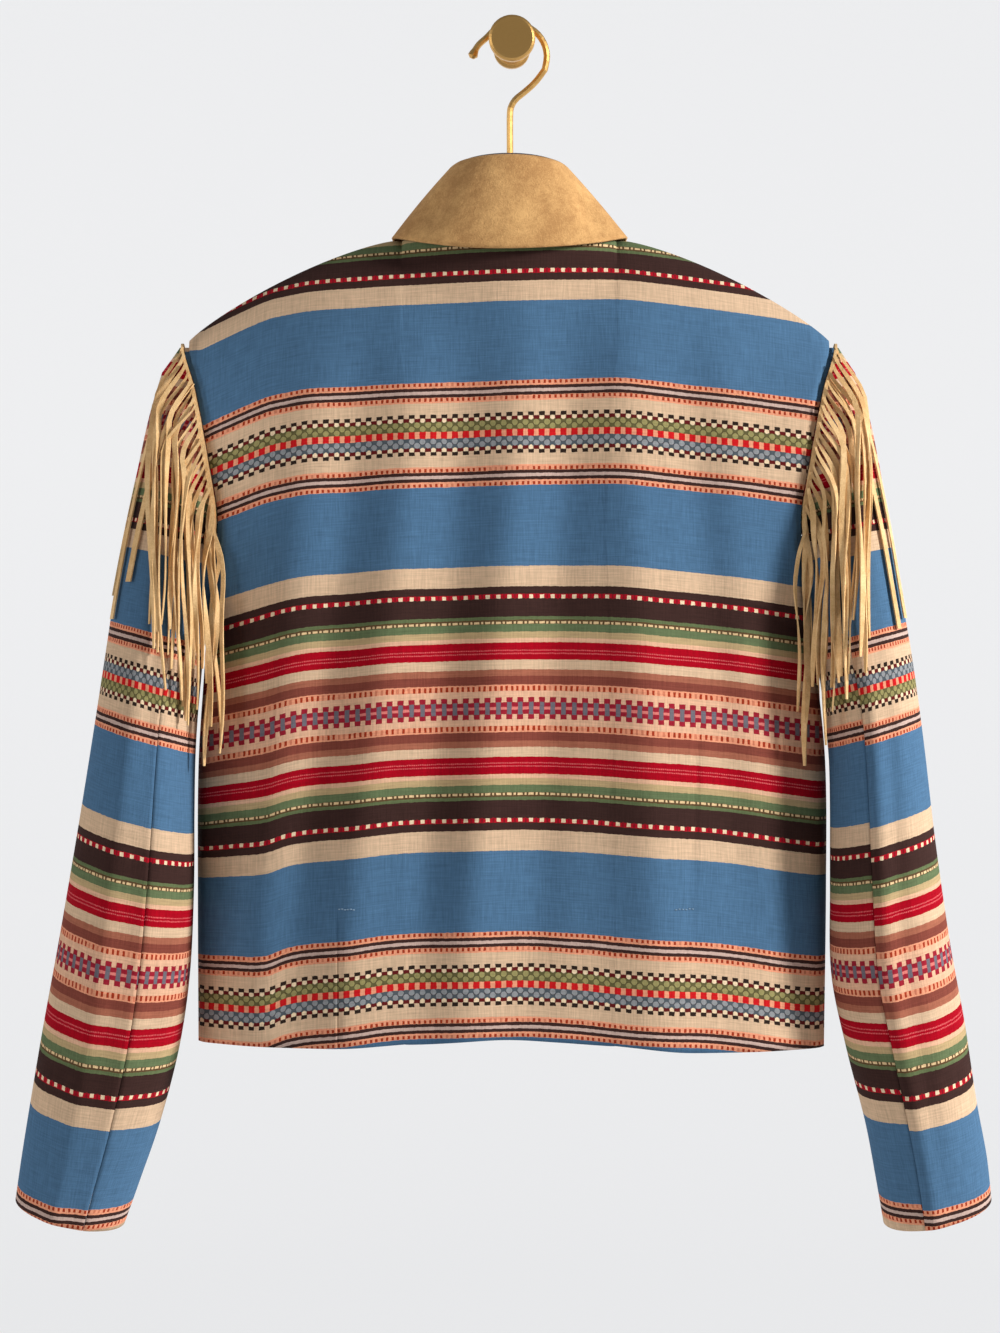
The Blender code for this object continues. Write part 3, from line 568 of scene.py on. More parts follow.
def crease_height(face, x, z):
    """Sum of the small creases, each a soft line that fades at both ends."""
    total = 0.0
    for crease in CREASES[face]:
        run_x = crease.x_end - crease.x_start
        run_z = crease.z_end - crease.z_start
        length = run_x * run_x + run_z * run_z
        along = ((x - crease.x_start) * run_x + (z - crease.z_start) * run_z) / length
        if -CREASE_OVERRUN < along < 1 + CREASE_OVERRUN:
            off = ((x - crease.x_start) * run_z - (z - crease.z_start) * run_x) / math.sqrt(length)
            begun = ease((along + CREASE_OVERRUN) / CREASE_FADE)
            left = ease((1 + CREASE_OVERRUN - along) / CREASE_FADE)
            total += crease.height * (begun * left) * bell(off / crease.width)
    return total


def armhole_depth(face, s, row, z):
    """Depth of the armhole seam at the side, let down softly under the arm inside the panel."""
    turn = min(math.pi, abs(z - ARMHOLE_MIDDLE_Z) / ARMHOLE_SOFT_REACH * math.pi)
    soft = (1 + math.cos(turn)) / 2
    seam = math.sin(math.pi * row / ARMHOLE_ROWS) if row < ARMHOLE_ROWS else 0.0
    return ARMHOLE_DEPTH[face] * blend(soft, seam, abs(s) ** SEAM_EDGE_POWER)


def panel_point(face, s, row):
    """Outer point of the back or the fronts; s runs across from -1 to 1."""
    z_top, neck_depth = top_edge(face, s)
    z_low = curve_through(HEM_LINE, "x", "z", s * SHOULDER_HALF)
    z = blend(z_top, z_low, row_share(row))
    x = s * half_width(s, z)
    drop = z_top - z
    off_neck = max(0.0, 1 - (s * SHOULDER_HALF / NECK_HALF) ** 2) ** 0.5
    near_neck = neck_depth * off_neck ** (drop / NECK_BLEND) * math.exp(-drop / NECK_FADE)
    soft_drop = drop + (soft_top(face, s) - z_top) * ease(drop / SOFT_TOP_DROP)
    form = blend(BODY_DEPTH[face], near_neck, math.exp(-(soft_drop / RIDGE_ROUND) ** RIDGE_POWER))
    edge = armhole_depth(face, s, row, z)
    across = math.sqrt(max(0.0, 1 - abs(s) ** SIDE_POWER))
    first = min(1.0, row / LIP_ROW)
    lip = first * blend(RIDGE_LIP, NECK_LIP_OUT, off_neck)
    z -= first * NECK_LIP_DROP * off_neck
    aside = NECK_LIP_SIDE * 4 * off_neck * (1 - off_neck) * math.exp(-drop / NECK_SIDE_FADE)
    x += first * math.copysign(aside, s)
    folds = FOLD_GAIN * fold_height(face, x, z) + crease_height(face, x, z)
    folds *= (1 - abs(s) ** FOLD_EDGE_POWER) * ease(drop / FOLD_START)
    depth = blend(edge, form + lip, across) + folds
    if abs(s) == 1:
        depth += UNDERARM_GAP * bell(row - ARMHOLE_ROWS)
    if row == 0:
        depth += NECK_POINT_GAP * bell((abs(x) - NECK_HALF) / NECK_POINT_WIDTH)
    if face == BACK:
        depth -= vent_groove(x, z)
    return Vector((HANG_X + x, RIDGE_Y + face * (SEAM / 2 + depth), z))


def vent_groove(x, z):
    """Depth of the slits in the back's hem."""
    total = 0.0
    for vent in VENTS:
        total += VENT_DEPTH * ease((vent.z_top - z) / VENT_OPENS) * bell((x - vent.x) / VENT_WIDTH)
    return total


def seam_strip_point(face, side, row):
    """Point just inside a panel's side edge, which keeps the seam crisp."""
    edge = panel_point(face, side, row)
    armhole = ease((ARMHOLE_ROWS - row) / STRIP_TURN_ROWS)
    return edge + Vector((-side * PANEL_STRIP * armhole, face * SIDE_STRIP * (1 - armhole), 0))


def armhole_point(side, angle):
    face = BACK if angle >= 0 else FRONT
    row = abs(angle) / 180.0 * ARMHOLE_ROWS
    point = panel_point(face, side, row)
    if abs(angle) in (0.0, 180.0):
        point.y = RIDGE_Y
    return point + Vector((side * SEAM, 0, 0))


def sleeve_fold(side, place, angle):
    share = place / (len(SLEEVE_RINGS) - 1)
    total = 0.0
    for fold in SLEEVE_FOLDS:
        if fold.side == side:
            height = blend(fold.height_top, fold.height_low, ease(share * SLEEVE_FOLD_SETTLE))
            total += height * bell((angle - fold.angle) / fold.width)
    for crease in SLEEVE_CREASES:
        if crease.side == side:
            down = (place - crease.place) / crease.reach
            off = (angle - crease.angle - crease.slant * down) / crease.width
            total += crease.height * math.exp(-down * down - off * off)
    return total


def sleeve_ring(place):
    """Ring at a place that counts the table's rings from 0."""
    keys = range(len(SLEEVE_RINGS))
    return SLEEVE_RINGS[0]._make(smooth_read(keys, column, place) for column in zip(*SLEEVE_RINGS))


def ring_edges(ring, side):
    """Distances of a sleeve's inner and outer edge from the jacket's centre."""
    return getattr(ring, "inner_" + SIDES[side]), getattr(ring, "outer_" + SIDES[side])


def sleeve_point(side, place, angle, ring):
    """Outer point of a sleeve."""
    inner, outer = ring_edges(ring, side)
    turn = math.radians(angle)
    depth = ring.half_depth * (1 if angle >= 0 else SLEEVE_FRONT_SHARE)
    depth += sleeve_fold(side, place, angle) * min(1.0, place + SLEEVE_FOLD_START)
    outward = (1 + math.cos(turn)) / 2
    x = blend(inner, outer, outward) + ring.bow * abs(math.sin(turn))
    z = blend(ring.inner_z, ring.outer_z, outward) - ring.lean * math.sin(turn)
    return Vector((HANG_X + side * x, ring.axis_y - depth * math.sin(turn), z))


# Fabric coordinates in the stripe chart

def droop(x, z):
    """How far a stripe has sunk at a place on the back."""
    upper = curve_through(DROOPS, "x", "upper", x)
    lower = curve_through(DROOPS, "x", "lower", x)
    share = (DROOP_UPPER_Z - z) / (DROOP_UPPER_Z - DROOP_LOWER_Z)
    least, most = DROOP_SHARES
    return blend(upper, lower, min(max(share, least), most))


def panel_chart(grid):
    """Chart place of each grid point: across from the centre, and up from the chain stripe."""
    columns = len(grid[0])
    middle = min(range(columns), key=lambda c: abs(grid[-1][c].x - HANG_X))
    anchor = min(range(len(grid)), key=lambda r: abs(grid[r][middle].z - DROOP_UPPER_Z))
    chart = [[None] * columns for row in grid]
    for c in range(columns):
        height = grid[anchor][c].z
        heights = {}
        for r in range(anchor, len(grid)):
            heights[r] = grid[r][c].z
        for r in range(anchor - 1, -1, -1):
            step = grid[r][c] - grid[r + 1][c]
            height += math.hypot(step.z, RIDGE_STRETCH * step.y)
            heights[r] = height
        for r, height in heights.items():
            x = grid[r][c].x - HANG_X
            across = x * (1 + SPREAD * abs(x) / SPREAD_REACH)
            chart[r][c] = (across, height - CHAIN_Z + droop(x, grid[r][c].z))
    return chart


def sleeve_chart(side, grid, rings, anchor, shift):
    """Stripes cross a sleeve level with its axis, and sag where it tips to the wall."""
    chart = []
    for row, ring in zip(grid, rings):
        around = [0.0]
        for a, b in zip(row, row[1:]):
            around.append(around[-1] + (b - a).length)
        middle_z = (ring.outer_z + ring.inner_z) / 2
        axis_x = HANG_X + side * sum(ring_edges(ring, side)) / 2
        tilt = curve_through(SLEEVE_TURNS, "z", "tilt", middle_z)
        tip = curve_through(SLEEVE_TURNS, "z", "tip", middle_z)
        places = []
        for point, reach in zip(row, around):
            level = point.z - side * tilt * (point.x - axis_x)
            level -= tip * (point.y - ring.axis_y + ring.half_depth)
            place = curve_through(SLEEVE_PLACES, "z", "chart", level) - shift
            places.append((reach - around[anchor], place))
        chart.append(places)
    return chart


# Materials

def linear(colour):
    """Linear value of an sRGB colour given in 0 to 255."""
    values = []
    for part in colour:
        share = part / 255
        values.append(share / 12.92 if share <= 0.04045 else ((share + 0.055) / 1.055) ** 2.4)
    return (*values, 1.0)


def tint(name):
    return linear(COLOURS[name])


class Paint:
    """Short calls for building a material's nodes."""

    def __init__(self, name):
        self.material = bpy.data.materials.new(name)
        self.material.use_nodes = True
        self.tree = self.material.node_tree
        self.shader = self.tree.nodes["Principled BSDF"]

    def node(self, kind, **settings):
        item = self.tree.nodes.new(kind)
        for key, value in settings.items():
            setattr(item, key, value)
        return item

    def feed(self, socket, value):
        if isinstance(value, bpy.types.NodeSocket):
            self.tree.links.new(value, socket)
        else:
            socket.default_value = value

    def math(self, operation, a, b=0.0, c=0.0):
        item = self.node("ShaderNodeMath", operation=operation)
        for socket, value in zip(item.inputs, (a, b, c)):
            self.feed(socket, value)
        return item.outputs[0]

    def plus(self, a, b):
        return self.math("ADD", a, b)

    def minus(self, a, b):
        return self.math("SUBTRACT", a, b)

    def times(self, a, b):
        return self.math("MULTIPLY", a, b)

    def scaled(self, value, factor, shift):
        return self.math("MULTIPLY_ADD", value, factor, shift)

    def below(self, value, limit):
        return self.math("LESS_THAN", value, limit)

    def between(self, value, bounds):
        low, high = bounds
        off = self.math("ABSOLUTE", self.minus(value, (low + high) / 2))
        return self.below(off, (high - low) / 2)

    def any_of(self, masks):
        """Mask of the places that lie in any of the masks."""
        total = masks[0]
        for mask in masks[1:]:
            total = self.math("MAXIMUM", total, mask)
        return total

    def figure(self, across, up, shape):
        """Mask of a woven figure, by its half width and its height from the middle."""
        return self.times(self.below(up, shape.height), self.below(across, shape.half))

    def vector(self, x, y, z=0.0):
        item = self.node("ShaderNodeCombineXYZ")
        for socket, value in zip(item.inputs, (x, y, z)):
            self.feed(socket, value)
        return item.outputs[0]

    def split(self, vector):
        item = self.node("ShaderNodeSeparateXYZ")
        self.feed(item.inputs[0], vector)
        return item.outputs

    def mix(self, under, over, share, blend="MIX"):
        item = self.node("ShaderNodeMix", data_type="RGBA", blend_type=blend)
        self.feed(item.inputs["Factor"], share)
        self.feed(item.inputs["A"], under)
        self.feed(item.inputs["B"], over)
        return item.outputs["Result"]

    def over(self, colour, name, mask):
        """The colour, with a named one laid over it inside a mask."""
        return self.mix(colour, tint(name), mask)

    def noise(self, place, scale, detail=2.0, roughness=0.5):
        item = self.node("ShaderNodeTexNoise")
        self.feed(item.inputs["Vector"], place)
        item.inputs["Scale"].default_value = scale
        item.inputs["Detail"].default_value = detail
        item.inputs["Roughness"].default_value = roughness
        return item.outputs["Fac"]

    def bump(self, height, strength, distance):
        item = self.node("ShaderNodeBump")
        item.inputs["Strength"].default_value = strength
        item.inputs["Distance"].default_value = distance
        self.feed(item.inputs["Height"], height)
        self.tree.links.new(item.outputs["Normal"], self.shader.inputs["Normal"])

    def object_place(self):
        return self.node("ShaderNodeTexCoord").outputs["Object"]

    def surface(self, colour, roughness, specular=0.5):
        self.feed(self.shader.inputs["Base Color"], colour)
        self.feed(self.shader.inputs["Roughness"], roughness)
        self.feed(self.shader.inputs["Specular IOR Level"], specular)


def chart_places(paint, flip):
    """Chart coordinates in millimetres, plain and with a little waver from the hand of the weave."""
    uv = paint.split(paint.node("ShaderNodeUVMap", uv_map="chart").outputs["UV"])
    u = paint.times(uv["X"], CHART_UNIT)
    v = paint.times(uv["Y"], CHART_UNIT * flip)
    waver = paint.noise(paint.vector(u, v), WAVER_SCALE, 1.0)
    drift = paint.noise(paint.vector(u, v), DRIFT_SCALE, 1.0)
    sway = paint.plus(paint.minus(waver, 0.5), paint.minus(drift, 0.5))
    return u, v, paint.scaled(sway, WAVER_ACROSS, u), paint.scaled(sway, WAVER_DOWN, v)


def plain_stripes(paint, distance):
    ramp = paint.node("ShaderNodeValToRGB")
    ramp.color_ramp.interpolation = "CONSTANT"
    half = CHART_REPEAT / 2
    paint.feed(ramp.inputs["Fac"], paint.math("DIVIDE", distance, half))
    stops = ramp.color_ramp.elements
    start = 0.0
    for i, stripe in enumerate(STRIPES):
        stop = stops[0] if i == 0 else stops.new(start)
        stop.position = start
        stop.color = tint(stripe.colour)
        start = stripe.bound / half
    while len(stops) > len(STRIPES):
        stops.remove(stops[-1])
    return ramp.outputs["Color"]


def paint_chain(paint, colour, distance, cell, other):
    """Grey-blue bars in crimson blocks, joined by crimson with a pink thread."""
    blocks = paint.figure(cell, distance, CHAIN_BLOCK)
    links = paint.figure(other, distance, CHAIN_LINK)
    colour = paint.over(colour, "chain_red", paint.any_of([blocks, links]))
    colour = paint.over(colour, "chain_pink", paint.figure(other, distance, CHAIN_THREAD))
    return paint.over(colour, "bar_blue", paint.figure(cell, distance, CHAIN_BAR))


def paint_dashes(paint, colour, distance, u, cell, other):
    """Dots, dashes and dotted lines of the narrow stripes."""
    pair = paint.below(paint.math("ABSOLUTE", paint.minus(cell, DOT_PLACE)), DOT_HALF)
    number = paint.math("FLOOR", paint.math("DIVIDE", u, STITCH_REPEAT / 2))
    stripe = paint.math("FLOOR", paint.math("DIVIDE", distance, DOT_STRIPE))
    strength = paint.noise(paint.vector(number, stripe), DOT_NOISE, 0.0)
    faint = paint.scaled(paint.math("GREATER_THAN", strength, 0.4), 1 - DOT_FAINT, DOT_FAINT)
    rows = paint.any_of([paint.between(distance, row) for row in DOT_ROWS])
    colour = paint.over(colour, "dash_brown", paint.times(paint.times(rows, pair), faint))
    fine = paint.below(paint.math("PINGPONG", u, LINE_REPEAT), LINE_HALF)
    lines = paint.any_of([paint.between(distance, row) for row in LINE_ROWS])
    colour = paint.over(colour, "line_pink", paint.times(lines, fine))
    dashes = paint.any_of([paint.below(cell, LONG_DASH), paint.below(other, SHORT_DASH)])
    colour = paint.over(colour, "yellow_cream", paint.times(paint.between(distance, DASH_ROW), dashes))
    middle = paint.times(paint.between(distance, RED_ROW), paint.below(other, RED_MIDDLE))
    colour = paint.over(colour, "mid_red", middle)
    cream = paint.times(paint.between(distance, CREAM_ROW), paint.below(cell, CREAM_HALF))
    return paint.over(colour, "cream", cream)


def disc(paint, cell, row, centre, radius):
    """Mask of a row of round spots, centred on the cell's middle."""
    off = paint.minus(row, centre)
    square = paint.plus(paint.times(cell, cell), paint.times(off, off))
    return paint.below(square, radius * radius)


def paint_honeycomb(paint, colour, side_place, cell, other):
    """Discs in an olive and a grey-blue lattice, with a row of red squares between."""
    row = paint.math("ABSOLUTE", side_place)
    upper = paint.math("GREATER_THAN", side_place, 0.0)
    lattice = paint.over(tint("grey_blue"), "olive", upper)
    dark = paint.over(tint("ink"), "oxblood", 0.35)
    lattice = paint.mix(lattice, dark, paint.times(paint.between(row, COMB_SHADE), 0.45))
    colour = paint.mix(colour, lattice, paint.below(row, COMB_LATTICE))
    discs = paint.over(tint("blue_disc"), "olive_disc", upper)
    edge = paint.times(paint.between(row, COMB_EDGE), paint.below(other, COMB_EDGE_HALF))
    colour = paint.over(colour, "oxblood", edge)
    for place, spot in ((cell, INNER_DISC), (other, OUTER_DISC)):
        colour = paint.mix(colour, discs, disc(paint, place, row, spot.centre, spot.radius))
    rim = paint.times(paint.between(row, COMB_RIM), paint.below(cell, COMB_SQUARE_HALF))
    colour = paint.mix(colour, lattice, rim)
    colour = paint.over(colour, "cream", disc(paint, cell, row, CREAM_DISC.centre, CREAM_DISC.radius))
    squares = paint.times(paint.between(row, COMB_INK), paint.below(cell, COMB_INK_HALF))
    colour = paint.over(colour, "ink", squares)
    middle = paint.below(row, COMB_MIDDLE)
    colour = paint.over(colour, "peach", middle)
    return paint.over(colour, "square_red", paint.times(middle, paint.below(cell, COMB_SQUARE_HALF)))


def weave_material(name, flip):
    """Serape stripes by their chart, with slubs, a ribbed weave and a soft nap."""
    paint = Paint(name)
    u, v, wavy_u, wavy_v = chart_places(paint, flip)
    half = CHART_REPEAT / 2
    distance = paint.math("PINGPONG", wavy_v, half)
    cell = paint.math("PINGPONG", wavy_u, STITCH_REPEAT / 2)
    other = paint.minus(STITCH_REPEAT / 2, cell)
    colour = plain_stripes(paint, distance)
    colour = paint_chain(paint, colour, distance, cell, other)
    colour = paint_dashes(paint, colour, distance, wavy_u, cell, other)
    from_comb = paint.minus(paint.math("FLOORED_MODULO", wavy_v, CHART_REPEAT), half)
    inside = paint.below(paint.math("ABSOLUTE", from_comb), COMB_BOUND)
    comb = paint_honeycomb(paint, colour, from_comb, cell, other)
    colour = paint.mix(colour, comb, inside)
    warp = paint.noise(paint.vector(paint.times(u, 0.9), paint.times(v, 0.06)), 1.0, 3.0)
    weft = paint.noise(paint.vector(paint.times(u, 0.05), v), 1.0, 3.0)
    slub = paint.plus(warp, weft)
    tone = paint.scaled(paint.minus(slub, 1.0), SLUB_TONE, CLOTH_TONE)
    warp_rib = paint.math("SINE", paint.times(u, WARP_TURN))
    thread = paint.plus(warp_rib, paint.math("SINE", paint.times(v, WEFT_TURN)))
    tone = paint.scaled(thread, THREAD_TONE, tone)
    colour = paint.mix(colour, paint.vector(tone, tone, tone), 1.0, "MULTIPLY")
    paint.surface(colour, 0.95, 0.1)
    paint.bump(paint.scaled(slub, 0.7, paint.times(thread, 0.16)), 0.5, 0.0006)
    return paint.material


def suede_material(name, colour):
    """Napped leather: brushed patches, cloudy tone, fine grain and a dusty sheen."""
    paint = Paint(name)
    place = paint.object_place()
    patch = paint.noise(place, 28, 5.0, 0.65)
    cloud = paint.noise(place, 160, 4.0, 0.65)
    grain = paint.noise(place, 900, 2.0, 0.7)
    share = paint.plus(paint.scaled(patch, 2.4, -1.35), paint.scaled(cloud, 1.3, -0.1))
    share = paint.plus(share, paint.scaled(grain, 1.2, -0.6))
    paint.surface(paint.over(tint(colour + "_shade"), colour, share), 0.95, 0.15)
    paint.shader.inputs["Sheen Weight"].default_value = 0.04
    paint.bump(paint.scaled(grain, 0.5, cloud), 0.7, 0.0009)
    return paint.material


def cotton_material(name, colour):
    paint = Paint(name)
    grain = paint.noise(paint.object_place(), 900, 2.0)
    darker = linear([part * 0.6 for part in COLOURS[colour]])
    paint.surface(paint.over(darker, colour, grain), 0.9)
    paint.bump(grain, 0.3, 0.0004)
    return paint.material


def brass_material(name, round_axis):
    """Brushed brass, with fine lines round the turned pieces."""
    paint = Paint(name)
    place = paint.object_place()
    if round_axis:
        axes = paint.split(place)
        square = paint.plus(paint.times(axes["X"], axes["X"]), paint.times(axes["Z"], axes["Z"]))
        place = paint.vector(paint.math("SQRT", square), paint.times(axes["Y"], 0.6))
    lines = paint.noise(place, 2600 if round_axis else 350, 3.0, 0.6)
    paint.surface(paint.over(tint("brass_shade"), "brass", lines), paint.scaled(lines, 0.18, 0.26))
    paint.shader.inputs["Metallic"].default_value = 1.0
    paint.bump(lines, 0.12, 0.0002)
    return paint.material


def wood_material(name):
    paint = Paint(name)
    stretch = paint.node("ShaderNodeMapping")
    stretch.inputs["Scale"].default_value = WOOD_GRAIN
    paint.feed(stretch.inputs["Vector"], paint.object_place())
    grain = paint.noise(stretch.outputs["Vector"], 1.5, 5.0, 0.6)
    paint.surface(paint.over(tint("beech_shade"), "beech", grain), 0.42)
    paint.bump(grain, 0.15, 0.0004)
    return paint.material


# Meshes

def add_object(name, data, place=(0, 0, 0)):
    item = bpy.data.objects.new(name, data)
    item.location = place
    bpy.context.scene.collection.objects.link(item)
    return item


def make_piece(name, points, faces, material, chart=None):
    mesh = bpy.data.meshes.new(name)
    mesh.from_pydata([point * MM for point in points], [], faces)
    mesh.materials.append(material)
    if chart:
        layer = mesh.uv_layers.new(name="chart")
        for entry, place in zip(layer.data, chart):
            entry.uv = (place[0] / CHART_UNIT, place[1] / CHART_UNIT)
    mesh.shade_smooth()
    return add_object(name, mesh)


def grid_cells(grid):
    """Corners of every cell of a grid, each as its row and column."""
    for r in range(len(grid) - 1):
        for c in range(len(grid[0]) - 1):
            yield [(r, c), (r, c + 1), (r + 1, c + 1), (r + 1, c)]


def grid_shell(name, grid, chart, flip, thickness, material):
    """Thin shell from a grid of outer points, with its chart places on every corner."""
    width = len(grid[0])
    points = [point for row in grid for point in row]
    faces = []
    corners = []
    for cell in grid_cells(grid):
        if flip:
            cell.reverse()
        faces.append(tuple(row * width + column for row, column in cell))
        if chart:
            corners.extend(chart[row][column] for row, column in cell)
    item = make_piece(name, points, faces, material, corners)
    wall = item.modifiers.new("cloth", "SOLIDIFY")
    wall.thickness = thickness * MM
    wall.offset = -1
    return item


def surface_tree(grids):
    points = []
    faces = []
    for grid in grids:
        start = len(points)
        width = len(grid[0])
        for row in grid:
            points.extend(row)
        for cell in grid_cells(grid):
            faces.append(tuple(start + row * width + column for row, column in cell))
    return BVHTree.FromPolygons(points, faces)


def surface_y(tree, face, x, z):
    """Where the cloth lies under a place, seen from the back or the front."""
    hit = tree.ray_cast(Vector((x, face * RAY_START, z)), Vector((0, -face, 0)))
    return hit[0].y if hit[0] else None


def row_places():
    rows = [0.0, LIP_ROW]
    count = (ARMHOLE_ROWS + LOWER_ROWS) * ROW_SPLIT
    rows.extend(i / ROW_SPLIT for i in range(2, count + 1))
    return rows


def column_places(low, high):
    """Places across a panel, closer together at the vents and the neck ends."""
    places = [-1 + 2 * i / PANEL_COLUMNS for i in range(PANEL_COLUMNS + 1)]
    for vent in VENTS:
        places.extend((vent.x + step) / COLUMN_HALF for step in VENT_STEPS)
    for i in range(-NECK_COLUMNS, NECK_COLUMNS + 1):
        places.append(NECK_HALF / SHOULDER_HALF * math.sin(math.pi / (2 * NECK_COLUMNS) * i))
    thinned = [low]
    for place in sorted(round(place, 5) for place in places):
        if place - thinned[-1] > COLUMN_GAP and high - place > COLUMN_GAP:
            thinned.append(place)
    thinned.append(high)
    return thinned


def panel_grid(face, low, high):
    grid = []
    for row in row_places():
        points = []
        for s in column_places(low, high):
            points.append(panel_point(face, s, row))
            if s == -1:
                points.append(seam_strip_point(face, -1, row))
            if s == 1:
                points.insert(-1, seam_strip_point(face, 1, row))
        grid.append(points)
    return grid


def sleeve_angles(under):
    """Even turns across the upper or the under sleeve, from seam to seam."""
    low, high = FRONT_SEAM_ANGLE, BACK_SEAM_ANGLE
    if under:
        low, high = BACK_SEAM_ANGLE, FRONT_SEAM_ANGLE + 360
    count = round((high - low) / SLEEVE_TURN)
    span = high - low - 2 * SLEEVE_SEAM_TURN
    turns = [low + SLEEVE_SEAM_TURN + span * i / count for i in range(count + 1)]
    return [turn - 360 if turn > 180 else turn for turn in turns]


def sleeve_grid(side, under):
    """Rows of a sleeve piece from the armhole to the cuff, and the ring that each row lies on."""
    angles = sleeve_angles(under)
    seam = [armhole_point(side, angle) for angle in angles]
    strip = []
    for angle, point in zip(angles, seam):
        reach = SLEEVE_STRIP_TOP + SLEEVE_STRIP_SIDE * math.sin(math.radians(angle)) ** 2
        strip.append(point + Vector((side * reach, 0, 0)))
    first = sleeve_ring(0)
    start = [sleeve_point(side, 0, angle, first) for angle in angles]
    grid = [seam, strip]
    for share in HEAD_ROWS:
        grid.append([blend(a, b, share) for a, b in zip(strip, start)])
    rings = [first] * len(grid)
    for i in range((len(SLEEVE_RINGS) - 1) * SLEEVE_SPLIT + 1):
        ring = sleeve_ring(i / SLEEVE_SPLIT)
        grid.append([sleeve_point(side, i / SLEEVE_SPLIT, angle, ring) for angle in angles])
        rings.append(ring)
    return grid, rings


def collar_face(angle):
    return BACK if abs(angle) <= 90 else FRONT


def round_way(angle, rise=0.0):
    """Way outward at an angle round the neck, which counts from the middle of the back."""
    turn = math.radians(angle)
    return Vector((math.sin(turn), -math.cos(turn), rise))


def collar_ring(half, depth, side_z, end_z, angle, power):
    turn = math.radians(angle)
    face = collar_face(angle)
    bend = abs(math.cos(turn))
    z = blend(side_z, end_z[face], bend ** power)
    return Vector((HANG_X + half * math.sin(turn), RIDGE_Y + face * depth[face] * bend, z))


def leaf_ends(angle):
    fold = collar_ring(FOLD_HALF, FOLD_DEPTH, FOLD_SIDE_Z, FOLD_Z, angle, FOLD_POWER)
    low = collar_ring(LEAF_HALF, LEAF_DEPTH, LEAF_SIDE_Z, LEAF_Z, angle, LEAF_POWER)
    return fold, low


def collar_angles():
    step = COLLAR_STEP / COLLAR_SPLIT
    count = int(COLLAR_END / step)
    return [i * step for i in range(-count, count + 1)]


def leaf_grid(trees):
    """Turned-down leaf with a rounded fold, pushed clear of the panels where it lies on them."""
    rows = []
    for share in (*LEAF_FIRST_SHARES, *(i / LEAF_ROWS for i in range(2, LEAF_ROWS + 1))):
        row = []
        for angle in collar_angles():
            fold, low = leaf_ends(angle)
            out = round_way(angle, LEAF_BULGE_RISE)
            bulge = blend(LEAF_SIDE_BULGE, LEAF_BULGE, abs(math.cos(math.radians(angle))))
            point = blend(fold, low, share) + out * bulge * math.sin(math.pi * share)
            point += out * leaf_dent(angle, share)
            if share < LEAF_FOLD_SHARE:
                point -= round_way(angle) * LEAF_FOLD_IN * (1 - share / LEAF_FOLD_SHARE) ** 2
            face = collar_face(angle)
            surface = surface_y(trees[face], face, point.x, point.z)
            if surface is not None:
                clear = surface + face * (SUEDE + LEAF_CLEARANCE)
                point.y = face * max(face * point.y, face * clear)
            row.append(point)
        rows.append(row)
    return rows


def leaf_dent(angle, share):
    """Soft dents and a slight ripple in the leaf."""
    total = RIPPLE * math.sin(math.radians(angle * RIPPLE_TURNS + RIPPLE_START)) * share ** 2
    for dent in LEAF_DENTS:
        total += dent.height * bell((angle - dent.angle) / dent.wide) * bell((share - dent.share) / dent.tall)
    return total


def stand_grid():
    rows = []
    for i in range(STAND_ROWS + 1):
        row = []
        for angle in collar_angles():
            face = collar_face(angle)
            turn = math.radians(angle)
            height, depth = neckline(face, abs(math.cos(turn)))
            y = RIDGE_Y + face * (SEAM / 2 + depth)
            neck = Vector((HANG_X + NECK_HALF * math.sin(turn), y, height + STAND_GAP))
            fold = leaf_ends(angle)[0] - round_way(angle) * STAND_INSET + Vector((0, 0, STAND_RISE))
            row.append(blend(fold, neck, i / STAND_ROWS))
        rows.append(row)
    return rows


def dress(piece, slot, *nodes):
    """Tie a piece to the body, and hide the solids that it stands for. The slot argument is not used."""
    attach(piece, "root")
    if nodes:
        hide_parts(*nodes)
    return piece


def add_body(material, grids):
    gap = FRONT_OPENING / 2 / SHOULDER_HALF
    for node, face, low, high in (("back", BACK, -1, 1), ("front_left", FRONT, -1, -gap),
                                  ("front_right", FRONT, gap, 1)):
        grid = panel_grid(face, low, high)
        piece = grid_shell(node + "_shell", grid, panel_chart(grid), face == BACK, CLOTH, material)
        dress(piece, "striped_weave", node)
        grids[face].append(grid)


def add_sleeves(material, grids):
    for side, name in SIDES.items():
        for under, part in ((False, "_top"), (True, "_under")):
            grid, rings = sleeve_grid(side, under)
            chart = sleeve_chart(side, grid, rings, len(grid[0]) // 2, UNDER_SHIFT[side] if under else 0.0)
            node = "sleeve_" + name + part
            piece = grid_shell(node + "_shell", grid, chart, side < 0, CLOTH, material)
            dress(piece, "striped_weave", node)
            for face in (BACK, FRONT):
                grids[face].append(grid)


def strip_section(side, angle):
    """Corners of the narrow strip that holds the fringe in the armhole seam, and its way out."""
    turn = math.radians(angle)
    face = BACK if angle >= 0 else FRONT
    out = Vector((0, face * abs(math.sin(turn)) / ARMHOLE_DEPTH[face], math.cos(turn) / ARMHOLE_HALF_HEIGHT))
    out.normalize()
    clearance = STRIP_CLEARANCE + STRIP_TOP_CLEARANCE * math.cos(turn) ** 2
    near = armhole_point(side, angle) + Vector((side * STRIP_SIDE_GAP, 0, 0)) + out * clearance
    far = near + Vector((side * (STRIP_WIDTH + STRIP_SIDE_WIDTH * math.sin(turn) ** 2), 0, 0))
    return [near + out * STRIP_THICKNESS, far + out * STRIP_THICKNESS, far, near], out


def root_angle(face, z):
    return -face * math.degrees(math.acos((z - ARMHOLE_MIDDLE_Z) / ARMHOLE_HALF_HEIGHT))


